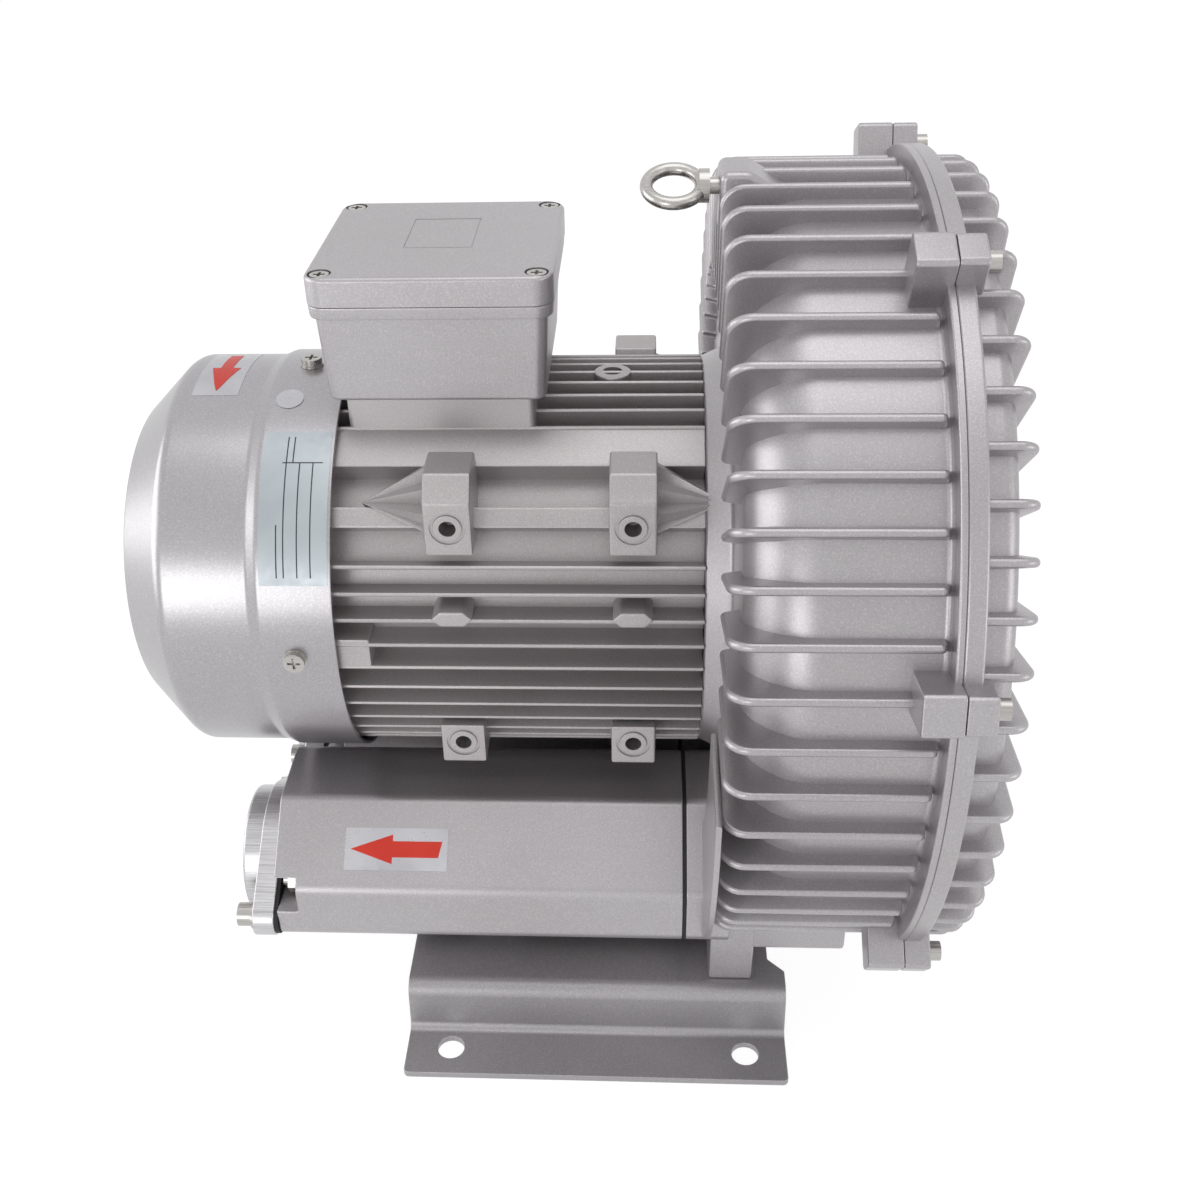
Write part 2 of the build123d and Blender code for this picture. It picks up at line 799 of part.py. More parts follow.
# Cover: the outer half of the side channel, with ribs that run over its face
with BuildPart() as casing_cover:
    with BuildSketch(around(0)):
        with BuildLine():
            shell_edge = (cover_face_x - cover_corner, shell_r)
            face_edge = (cover_face_x, shell_r - cover_corner)
            Polyline(face_edge, (cover_face_x, 0), (parting_x, 0), (parting_x, shell_r), shell_edge)
            RadiusArc(shell_edge, face_edge, cover_corner)
        make_face()
    revolve(axis=shaft_axis)
    turned(ring_points(parting_x, cover_ring, shell_r - wall, ring_r))
    ring_bosses(parting_x, cover_boss)
    channel_cut(parting_x, cover_face_x - cover_face_wall)
    dish_x = cover_face_x - cover_dish_depth
    turned(ring_points(dish_x, cover_dish_depth, 0, cover_dish_r), Mode.SUBTRACT)
    rod(parting_x, dish_x - cover_face_wall - parting_x, cover_hub_r, Mode.SUBTRACT)
    pocket_length = dish_x - wall - parting_x
    turned(ring_points(parting_x, pocket_length, cover_web_r, cover_pocket_r), Mode.SUBTRACT)
    ring_hole_r = cover_screw_r + cover_hole_play
    rods(parting_x, cover_boss, ring_hole_r, ring_places, Mode.SUBTRACT)
    with BuildSketch(*rib_planes(cover_rib_phase)):
        with BuildLine():
            rib_face_x = cover_face_x + cover_rib_proud
            rib_edge = FilletPolyline(
                (parting_x + cover_ring - bite, rib_r),
                (rib_face_x, rib_r),
                (rib_face_x, cover_rib_in_r + rib_run_out),
                (cover_face_x - rib_root, cover_rib_in_r),
                radius=[cover_rib_corner, rib_tip_corner],
            )
            inner_low = (cover_face_x - rib_root, shell_r - cover_corner)
            inner_high = (cover_face_x - cover_corner, shell_r - rib_root)
            Line(rib_edge @ 1, inner_low)
            RadiusArc(inner_high, inner_low, cover_corner - rib_root)
            Polyline(inner_high, (parting_x + cover_ring - bite, shell_r - rib_root), rib_edge @ 0)
        make_face()
    extrude(amount=rib_width)
save("casing_cover", casing_cover.part)

# Sealing cord between the casing and the cover
with BuildPart() as casing_seal:
    cord_in_r = seal_groove_r + thread_fit
    cord_out_r = seal_groove_r + groove_width - thread_fit
    turned(ring_points(parting_x - groove_depth, groove_depth, cord_in_r, cord_out_r))
save("casing_seal", casing_seal.part)

# Screws round the parting ring
with BuildPart() as cover_screws:
    screw_x = parting_x + cover_boss
    cap_screws(screw_x, ring_places, cover_screw_r, cover_screw_length, -1)
save("cover_screws", cover_screws.part)

# Impeller: hub, web disc, rim and straight vanes split by a thin web
with BuildPart() as impeller:
    bore_r = shaft_impeller_r + shaft_fit
    turned(ring_points(hub_start_x, impeller_hub_length, bore_r, impeller_hub_r))
    web_x = impeller_centre_x - impeller_web / 2
    turned(ring_points(web_x, impeller_web, impeller_hub_r - bite, impeller_disc_r))
    rim_in_r = impeller_disc_r - impeller_rim
    turned(ring_points(impeller_x, impeller_width, rim_in_r, impeller_disc_r))
    turned(ring_points(impeller_centre_x - vane_web / 2, vane_web, impeller_disc_r - bite, impeller_r))
    with BuildSketch(Plane.YZ.offset(impeller_x)):
        for index in range(impeller_vanes):
            angle = 360 / impeller_vanes * index
            with Locations(polar_point(angle, (impeller_disc_r - bite + impeller_r) / 2)):
                Rectangle(vane_thickness, impeller_r - impeller_disc_r + bite, rotation=angle)
    extrude(amount=impeller_width)
    key_x = impeller_end_x - key_end_gap - key_length
    key_top = shaft_height + shaft_impeller_r + key_height - key_seat
    with BuildSketch(Plane.XY.offset(shaft_height)):
        with Locations((hub_start_x + impeller_hub_length / 2, 0)):
            Rectangle(impeller_hub_length, key_width + 2 * shaft_fit)
    extrude(amount=key_top + key_clearance - shaft_height, mode=Mode.SUBTRACT)
save("impeller", impeller.part)

# Key that drives the impeller
with BuildPart() as impeller_key:
    with BuildSketch(Plane.XY.offset(key_top - key_height)):
        with Locations((key_x + key_length / 2, 0)):
            Rectangle(key_length, key_width)
    extrude(amount=key_height)
save("impeller_key", impeller_key.part)

# Washer and screw that clamp the impeller on the shaft end
with BuildPart() as washer_disc:
    turned(ring_points(impeller_end_x, impeller_washer, impeller_screw_r + hole_play, impeller_washer_r))
save("impeller_washer", washer_disc.part)

with BuildPart() as impeller_screw:
    shaft_place = [(0, shaft_height)]
    screw_x = impeller_end_x + impeller_washer
    cap_screws(screw_x, shaft_place, impeller_screw_r, impeller_screw_length, -1)
save("impeller_screw", impeller_screw.part)

# Shaft seal in the casing wall
with BuildPart() as shaft_seal:
    turned(ring_points(seal_x, seal_width, shaft_bearing_r + shaft_fit, seal_r))
save("shaft_seal", shaft_seal.part)

# Motor shaft, stepped for the fan, the bearings, the rotor and the impeller
with BuildPart() as motor_shaft:
    rear_bearing_end_x = rear_bearing_x + bearing_width
    steps = [
        (shaft_start_x, fan_seat_end_x, shaft_fan_r),
        (fan_seat_end_x, rear_bearing_x, shaft_impeller_r),
        (rear_bearing_x, rear_bearing_end_x, shaft_bearing_r),
        (rear_bearing_end_x, core_start_x, shaft_shoulder_r),
        (core_start_x, core_end_x, shaft_rotor_r),
        (core_end_x, front_bearing_x, shaft_shoulder_r),
        (front_bearing_x, hub_start_x, shaft_bearing_r),
        (hub_start_x, impeller_end_x - shaft_end_gap, shaft_impeller_r),
    ]
    for from_x, to_x, radius in steps:
        rod(from_x, to_x - from_x, radius)
    chamfer(motor_shaft.edges().group_by(Axis.X)[0], shaft_chamfer)
    groove = ring_points(retaining_ring_x, retaining_ring, retaining_groove_r, shaft_fan_r + bite)
    turned(groove, Mode.SUBTRACT)
    with BuildSketch(Plane.XY.offset(key_top - key_height)):
        with Locations((key_x + key_length / 2, 0)):
            SlotOverall(key_length + key_width, key_width + 2 * shaft_fit)
    extrude(amount=key_height, mode=Mode.SUBTRACT)
    screw_depth = impeller_screw_length - impeller_washer + 2 * hole_end_gap
    screw_hole_r = impeller_screw_r + thread_fit
    rod(impeller_end_x - screw_depth, screw_depth, screw_hole_r, Mode.SUBTRACT)
save("motor_shaft", motor_shaft.part)

# Rotor core with its end rings
with BuildPart() as rotor_core:
    turned(ring_points(core_start_x, core_length, shaft_rotor_r, rotor_r))
    turned(ring_points(core_start_x - rotor_ring, rotor_ring, rotor_ring_in_r, rotor_r))
    turned(ring_points(core_end_x, rotor_ring, rotor_ring_in_r, rotor_r))
save("rotor_core", rotor_core.part)

# Slotted stator core
with BuildPart() as stator_core:
    with BuildSketch(Plane.YZ.offset(core_start_x)):
        with Locations((0, shaft_height)):
            Circle(frame_bore_r - shaft_fit)
            Circle(stator_bore_r, mode=Mode.SUBTRACT)
        for index in range(slot_count):
            angle = 360 / slot_count * index
            with Locations(polar_point(angle, slot_opening_r + slot_depth / 2)):
                Rectangle(slot_width, slot_depth, rotation=angle, mode=Mode.SUBTRACT)
            with Locations(polar_point(angle, stator_bore_r + slot_neck / 2 - bite)):
                Rectangle(slot_mouth, slot_neck, rotation=angle, mode=Mode.SUBTRACT)
    extrude(amount=core_length)
save("stator_core", stator_core.part)

# Stator windings: a bar in every slot and a bundle at each end
with BuildPart() as stator_windings:
    with BuildSketch(Plane.YZ.offset(core_start_x - bite)):
        for index in range(slot_count):
            angle = 360 / slot_count * index
            with Locations(polar_point(angle, slot_opening_r + slot_depth / 2)):
                Rectangle(slot_width - 2 * winding_fit, slot_depth - 2 * winding_fit, rotation=angle)
    extrude(amount=core_length + 2 * bite)
    bundle_in_r = slot_opening_r + winding_fit
    bundle_out_r = slot_opening_r + slot_depth - winding_fit
    bundle_length = winding_overhang - winding_fit
    turned(ring_points(core_start_x - winding_overhang, bundle_length, bundle_in_r, bundle_out_r))
    turned(ring_points(core_end_x + winding_fit, bundle_length, bundle_in_r, bundle_out_r))
save("stator_windings", stator_windings.part)

# Ball bearings: outer race, inner race, and balls in their cage
for name, bearing_x in (("front", front_bearing_x), ("rear", rear_bearing_x)):
    with BuildPart() as outer_race:
        bearing(bearing_x, bearing_r - bearing_race, bearing_r)
    save(f"{name}_bearing_outer_race", outer_race.part)
    with BuildPart() as inner_race:
        bearing(bearing_x, shaft_bearing_r + shaft_fit, shaft_bearing_r + bearing_race)
    save(f"{name}_bearing_inner_race", inner_race.part)
    with BuildPart() as balls:
        cage_x = bearing_x + (bearing_width - cage_length) / 2
        turned(ring_points(cage_x, cage_length, ball_pitch_r - cage_half, ball_pitch_r + cage_half))
        ball_x = bearing_x + bearing_width / 2
        for index in range(ball_count):
            with Locations((ball_x, *polar_point(360 / ball_count * index, ball_pitch_r))):
                Sphere(ball_r)
    save(f"{name}_bearing_balls", balls.part)

# Spacer ring that holds the rear bearing against its shoulder
with BuildPart() as spacer:
    ring_x = rear_bearing_x - preload_ring
    turned(ring_points(ring_x, preload_ring, bearing_r - bearing_race, bearing_r))
save("preload_ring", spacer.part)

# Rear end shield with the rear bearing seat and four lugs for the cowl
with BuildPart() as rear_end_shield:
    shield_x = frame_start_x - end_shield_depth
    turned(ring_points(shield_x, end_shield_depth, 0, end_shield_r))
    turned(ring_points(frame_start_x, wall, spigot_in_r, spigot_out_r))
    pocket_x = rear_bearing_x - preload_ring - face_gap
    hub_x = pocket_x - bearing_race
    rod(hub_x, frame_start_x - hub_x, hub_r)
    lug_length = frame_start_x - cowl_lug_start_x
    lug_top_r = cowl_r - cowl_sheet - cowl_gap
    for angle in quarter_angles:
        lug = ring_points(cowl_lug_start_x, lug_length, cowl_lug_in_r, lug_top_r)
        turned(lug, start=angle - cowl_lug_arc / 2, arc=cowl_lug_arc)
    rod(pocket_x, frame_start_x - pocket_x, bearing_r + bearing_fit, Mode.SUBTRACT)
    rod(hub_x, bearing_race, shaft_bearing_r + hole_play, Mode.SUBTRACT)
    shield_places = [polar_point(angle, shield_screw_pitch_r) for angle in quarter_angles]
    shield_hole_r = end_bolt_screw_r + cover_hole_play
    rods(shield_x, end_shield_depth, shield_hole_r, shield_places, Mode.SUBTRACT)
    lug_hole = cowl_screw_r + thread_fit
    for angle in quarter_angles:
        spoke(angle, cowl_screw_x, cowl_lug_in_r - bite, lug_top_r + bite, lug_hole, Mode.SUBTRACT)
save("rear_end_shield", rear_end_shield.part)

# Screws of the rear end shield
with BuildPart() as end_shield_screws:
    cap_screws(shield_x, shield_places, end_bolt_screw_r, end_screw_length)
save("end_shield_screws", end_shield_screws.part)

# Finned motor frame with its lugs, pads and the terminal box pedestal
with BuildPart() as motor_frame:
    fin_angles = [top_fin_pitch * index for index in range(-top_fins_each_side, top_fins_each_side + 1)]
    for index in range(side_fins):
        side_angle = side_fin_start + side_fin_pitch * index
        fin_angles.extend([side_angle, -side_angle])
    fin_in_r = frame_root_r - fin_root_bite
    with BuildSketch(Plane.YZ.offset(frame_start_x)):
        with Locations((0, shaft_height)):
            Circle(frame_root_r)
        for angle in fin_angles:
            with Locations(polar_point(angle, (fin_in_r + fin_r) / 2)):
                Rectangle(fin_thickness, fin_r - fin_in_r, rotation=angle)
        for side in (-1, 1):
            add(disc_sector(shoulder_r, side * shoulder_from, side * shoulder_to))
            add(disc_sector(rail_r, side * rail_from, side * rail_to))
        with Locations((0, shaft_height)):
            Circle(frame_bore_r, mode=Mode.SUBTRACT)
    extrude(amount=frame_end_x - frame_start_x)
    lug_centres = [lug_centre_x - lug_pitch_x / 2, lug_centre_x + lug_pitch_x / 2]
    for centre_x in lug_centres:
        with BuildSketch(Plane.YZ.offset(centre_x - lug_width / 2)):
            for side in (-1, 1):
                with BuildLine():
                    upper = [(side * y, shaft_height + z) for y, z in upper_lug_outline]
                    Polyline(*upper, close=True)
                make_face()
                with Locations((side * (lower_lug_y + lower_lug_root) / 2, shaft_height - lower_lug_z)):
                    Rectangle(lower_lug_y - lower_lug_root, lower_lug_height)
                with Locations((side * (hex_pad_y + lower_lug_root) / 2, shaft_height + hex_pad_z)):
                    Rectangle(hex_pad_y - lower_lug_root, hex_pad_height)
        extrude(amount=lug_width)
    front_lug_x = frame_end_x - end_lug_length
    for from_x, angles in ((frame_start_x, quarter_angles), (front_lug_x, low_flange_angles)):
        with BuildSketch(Plane.YZ.offset(from_x)):
            for angle in angles:
                with Locations(polar_point(angle, (fin_in_r + fin_r) / 2)):
                    Rectangle(end_lug_width, fin_r - fin_in_r, rotation=angle)
        extrude(amount=end_lug_length)
    with BuildSketch(Plane.XY.offset(shaft_height + fin_in_r)):
        with Locations((box_centre_x, 0)):
            Rectangle(pedestal_length, 2 * pedestal_half_y)
        with Locations((top_boss_x, 0)):
            Circle(top_boss_r)
    extrude(amount=fin_r - fin_in_r)
    with BuildSketch(Plane.XY.offset(shaft_height + pedestal_root)):
        with Locations((box_centre_x, 0)):
            Rectangle(pedestal_length, 2 * pedestal_half_y)
    extrude(amount=box_floor - pedestal_root)
    rod(frame_start_x, frame_end_x - frame_start_x, frame_bore_r, Mode.SUBTRACT)
    lug_heights = [shaft_height + upper_lug_z, shaft_height - lower_lug_z]
    lug_hole_places = [(x, height) for x in lug_centres for height in lug_heights]
    for side in (-1, 1):
        with BuildSketch(Plane.XZ.offset(-side * lug_hole_start)):
            with Locations(*lug_hole_places):
                Circle(lug_hole_r)
        extrude(amount=-side * lug_hole_depth, mode=Mode.SUBTRACT)
    rods(frame_start_x, end_screw_length, end_bolt_screw_r + thread_fit, shield_places, Mode.SUBTRACT)
    flange_thread_x = frame_end_x - flange_thread_depth
    rods(flange_thread_x, flange_thread_depth, flange_screw_r + thread_fit, flange_places, Mode.SUBTRACT)
    post(top_boss_x, 0, shaft_height + fin_r - top_hole_depth, top_hole_depth, top_hole_r, Mode.SUBTRACT)
    post(box_centre_x, 0, shaft_height, box_floor, wire_hole_r, Mode.SUBTRACT)
    fixing_places = box_corners(box_fixing_pitch)
    for x, y in fixing_places:
        fixing_z = shaft_height + box_floor - box_fixing_depth
        post(x, y, fixing_z, box_fixing_depth, box_screw_r + thread_fit, Mode.SUBTRACT)
save("motor_frame", motor_frame.part)

# Screws that bolt the motor frame to the casing, with their heads sunk in the chamber wall
with BuildPart() as frame_to_casing_screws:
    screw_length = flange_seat_x - flange_thread_x - 2 * hole_end_gap
    cap_screws(flange_seat_x, flange_places, flange_screw_r, screw_length, -1)
save("frame_to_casing_screws", frame_to_casing_screws.part)

# Cooling fan on the rear shaft end
with BuildPart() as cooling_fan:
    hub_x = retaining_ring_x + retaining_ring + face_gap
    turned(ring_points(hub_x, fan_seat_end_x - hub_x, shaft_fan_r + shaft_fit, fan_hub_r))
    turned(ring_points(fan_disc_x, fan_disc, fan_hub_r - bite, fan_r))
    blade_length = fan_disc_x - hub_x - fan_disc
    with BuildSketch(Plane.YZ.offset(fan_disc_x - blade_length)):
        for index in range(fan_blades):
            angle = 360 / fan_blades * index
            with Locations(polar_point(angle, (fan_hub_r - bite + fan_r) / 2)):
                Rectangle(blade_thickness, fan_r - fan_hub_r + bite, rotation=angle)
    extrude(amount=blade_length + bite)
save("cooling_fan", cooling_fan.part)

# Retaining ring that holds the fan
with BuildPart() as fan_retaining_ring:
    turned(ring_points(retaining_ring_x, retaining_ring, retaining_groove_r, retaining_ring_r))
save("fan_retaining_ring", fan_retaining_ring.part)

# Sheet-metal fan cowl with an air grille in its end
with BuildPart() as fan_cowl:
    shoulder_drop = cowl_body_r - cowl_end_r
    outer = [
        (cowl_rim_x, 0),
        (cowl_rim_x, cowl_r),
        (cowl_step_x, cowl_r),
        (cowl_step_x - cowl_step_length, cowl_body_r),
        (cowl_shoulder_x, cowl_body_r),
        (cowl_end_x, cowl_end_r),
        (cowl_end_x, 0),
    ]
    inner = [
        (cowl_rim_x, 0),
        (cowl_rim_x, cowl_r - cowl_sheet),
        (cowl_step_x + cowl_sheet / 3, cowl_r - cowl_sheet),
        (cowl_step_x - cowl_step_length + cowl_sheet / 3, cowl_body_r - cowl_sheet),
        (cowl_shoulder_x + cowl_sheet / 2, cowl_body_r - cowl_sheet),
        (cowl_end_x + cowl_sheet, cowl_end_r - cowl_sheet / 2),
        (cowl_end_x + cowl_sheet, 0),
    ]
    turned(outer)
    turned(inner, Mode.SUBTRACT)
    with BuildSketch(Plane.YZ.offset(cowl_end_x)):
        for row in range(-grille_rows, grille_rows + 1):
            height = row * grille_slot_pitch
            span = 2 * sqrt(grille_r**2 - height**2)
            with Locations((0, shaft_height + height)):
                SlotOverall(span, grille_slot_width)
    extrude(amount=cowl_sheet, mode=Mode.SUBTRACT)
    cowl_hole_r = cowl_screw_r + cover_hole_play
    for angle in quarter_angles:
        spoke(angle, cowl_screw_x, cowl_r - 2 * cowl_sheet, cowl_r + bite, cowl_hole_r, Mode.SUBTRACT)
save("fan_cowl", fan_cowl.part)

# Pan-head screws and washers that hold the cowl
with BuildPart() as cowl_screws:
    for angle in quarter_angles:
        head_r = cowl_r + cowl_washer
        spoke(angle, cowl_screw_x, cowl_r, head_r, cowl_washer_r)
        spoke(angle, cowl_screw_x, head_r, head_r + pan_head, cowl_screw_head_r)
        spoke(angle, cowl_screw_x, cowl_lug_in_r, head_r, cowl_screw_r)
        with BuildSketch(square_on(angle, head_r + pan_head, cowl_screw_x)):
            Rectangle(cowl_screw_head_r * cross_share, cross_width)
            Rectangle(cross_width, cowl_screw_head_r * cross_share)
        extrude(amount=-cross_depth, mode=Mode.SUBTRACT)
save("cowl_screws", cowl_screws.part)

# Terminal box base: drafted body with a flange, corner posts and a floor
with BuildPart() as box_cavity:
    with BuildSketch(Plane.XY.offset(box_floor_z + box_wall)):
        with Locations((box_centre_x, 0)):
            RectangleRounded(box_body_foot - 2 * box_wall, box_body_foot - 2 * box_wall, box_inner_corner)
    with BuildSketch(Plane.XY.offset(box_rim_z)):
        with Locations((box_centre_x, 0)):
            RectangleRounded(box_body - 2 * box_wall, box_body - 2 * box_wall, box_inner_corner)
    loft()
    for x, y in box_corners(box_screw_pitch):
        post(x, y, box_rim_z - box_post_length, box_post_length, box_post_r, Mode.SUBTRACT)
with BuildPart() as terminal_box_base:
    with BuildSketch(Plane.XY.offset(box_floor_z)):
        with Locations((box_centre_x, 0)):
            RectangleRounded(box_body_foot, box_body_foot, box_corner)
    with BuildSketch(Plane.XY.offset(box_rim_z)):
        with Locations((box_centre_x, 0)):
            RectangleRounded(box_body, box_body, box_corner)
    loft()
    with BuildSketch(Plane.XY.offset(box_rim_z - box_flange)):
        with Locations((box_centre_x, 0)):
            flange_size = box_lid - 2 * box_flange_inset
            RectangleRounded(flange_size, flange_size, box_corner)
    extrude(amount=box_flange)
    add(box_cavity.part, mode=Mode.SUBTRACT)
    screw_places = box_corners(box_screw_pitch)
    lid_hole_z = box_rim_z - box_post_length + 2 * hole_end_gap
    for x, y in screw_places:
        post(x, y, lid_hole_z, box_post_length, box_screw_r + thread_fit, Mode.SUBTRACT)
    for x, y in fixing_places:
        post(x, y, box_floor_z, box_wall, box_screw_r + cover_hole_play, Mode.SUBTRACT)
    post(box_centre_x, 0, box_floor_z, box_wall, wire_hole_r, Mode.SUBTRACT)
    with BuildSketch(Plane.XZ.offset(-box_body_foot / 2 + 2 * box_wall)):
        with Locations((box_centre_x, gland_z)):
            Circle(gland_r + cover_hole_play)
    extrude(amount=-4 * box_wall, mode=Mode.SUBTRACT)
save("terminal_box_base", terminal_box_base.part)

# Flat seal between the terminal box and its lid
with BuildPart() as terminal_box_seal:
    with BuildSketch(Plane.XY.offset(box_rim_z)):
        with Locations((box_centre_x, 0)):
            RectangleRounded(box_body, box_body, box_corner)
            seal_inside = box_body - 2 * box_seal_inset
            RectangleRounded(seal_inside, seal_inside, box_corner - box_seal_inset, mode=Mode.SUBTRACT)
        with Locations(*screw_places):
            Circle(box_post_r)
            Circle(box_screw_r + cover_hole_play, mode=Mode.SUBTRACT)
    extrude(amount=box_seal)
save("terminal_box_seal", terminal_box_seal.part)

# Terminal box lid with sunk screw seats and a plain rectangular mark
with BuildPart() as terminal_box_lid:
    with BuildSketch(Plane.XY.offset(box_lid_z)):
        with Locations((box_centre_x, 0)):
            RectangleRounded(box_lid, box_lid, box_corner)
    extrude(amount=box_lid_height)
    fillet(terminal_box_lid.edges().group_by(Axis.Z)[-1], lid_edge)
    with BuildSketch(Plane.XY.offset(box_lid_z)):
        with Locations((box_centre_x, 0)):
            lid_inside = box_body - 2 * box_wall
            RectangleRounded(lid_inside, lid_inside, box_inner_corner)
        with Locations(*screw_places):
            Circle(box_recess_r + recess_wall, mode=Mode.SUBTRACT)
    extrude(amount=box_lid_height - box_wall, mode=Mode.SUBTRACT)
    for x, y in screw_places:
        post(x, y, box_lid_top_z - box_recess_depth, box_recess_depth, box_recess_r, Mode.SUBTRACT)
        post(x, y, box_lid_z, box_lid_height, box_screw_r + cover_hole_play, Mode.SUBTRACT)
    with BuildSketch(Plane.XY.offset(box_lid_top_z - mark_depth)):
        with Locations((box_centre_x, 0)):
            Rectangle(mark_length_x, mark_length_y)
            Rectangle(mark_length_x - 2 * mark_width, mark_length_y - 2 * mark_width, mode=Mode.SUBTRACT)
    extrude(amount=mark_depth, mode=Mode.SUBTRACT)
save("terminal_box_lid", terminal_box_lid.part)

# Cross-recess screws of the lid
with BuildPart() as terminal_lid_screws:
    seat_z = box_lid_top_z - box_recess_depth
    lid_screw_length = seat_z - box_rim_z + box_post_length - lid_screw_gap
    for x, y in screw_places:
        post(x, y, seat_z - lid_screw_length, lid_screw_length, box_screw_r)
        post(x, y, seat_z, box_recess_depth - lid_screw_sink, box_screw_head_r)
        with BuildSketch(Plane.XY.offset(box_lid_top_z - lid_screw_sink)):
            with Locations((x, y)):
                Rectangle(box_screw_head_r * cross_share, cross_width)
                Rectangle(cross_width, box_screw_head_r * cross_share)
        extrude(amount=-cross_depth, mode=Mode.SUBTRACT)
save("terminal_lid_screws", terminal_lid_screws.part)

# Screws that fix the terminal box to the pedestal
with BuildPart() as box_fixing_screws:
    seat_z = box_floor_z + box_wall
    fixing_length = box_wall + box_fixing_depth - hole_end_gap
    for x, y in fixing_places:
        post(x, y, seat_z - fixing_length, fixing_length, box_screw_r)
        post(x, y, seat_z, pan_head, box_screw_head_r)
save("box_fixing_screws", box_fixing_screws.part)

# Terminal block on the box floor, and its six studs
with BuildPart() as terminal_block:
    with BuildSketch(Plane.XY.offset(box_floor_z + box_wall)):
        with Locations((box_centre_x, -block_offset_y)):
            Rectangle(block_length, block_width)
    extrude(amount=block_height)
    stud_places = [
        (box_centre_x + column * stud_pitch_x, -block_offset_y + row * stud_pitch_y / 2)
        for column in (-1, 0, 1)
        for row in (-1, 1)
    ]
    for x, y in stud_places:
        post(x, y, block_top_z - stud_depth, stud_depth, stud_r + thread_fit, Mode.SUBTRACT)
save("terminal_block", terminal_block.part)

with BuildPart() as terminal_studs:
    for x, y in stud_places:
        post(x, y, block_top_z - stud_depth, stud_depth + stud_length, stud_r)
        with BuildSketch(Plane.XY.offset(block_top_z)):
            with Locations((x, y)):
                RegularPolygon(stud_r * nut_share, 6, major_radius=False)
        extrude(amount=stud_nut)
save("terminal_studs", terminal_studs.part)

# Cable gland with a blanking plug in the far wall of the terminal box
with BuildPart() as cable_gland:
    wall_y = box_body / 2
    with BuildSketch(Plane.XZ.offset(-wall_y)):
        with Locations((box_centre_x, gland_z)):
            RegularPolygon(gland_nut, 6, major_radius=False)
    extrude(amount=-gland_nut_length)
    with BuildSketch(Plane.XZ.offset(-wall_y - gland_nut_length)):
        with Locations((box_centre_x, gland_z)):
            Circle(gland_r)
    extrude(amount=-gland_cap_length)
    with BuildSketch(Plane.XZ.offset(-wall_y + gland_thread_length)):
        with Locations((box_centre_x, gland_z)):
            Circle(gland_r)
    extrude(amount=-gland_thread_length)
    with BuildSketch(Plane.XZ.offset(-wall_y + gland_thread_length)):
        with Locations((box_centre_x, gland_z)):
            RegularPolygon(gland_nut, 6, major_radius=False)
    extrude(amount=gland_locknut)
save("cable_gland", cable_gland.part)

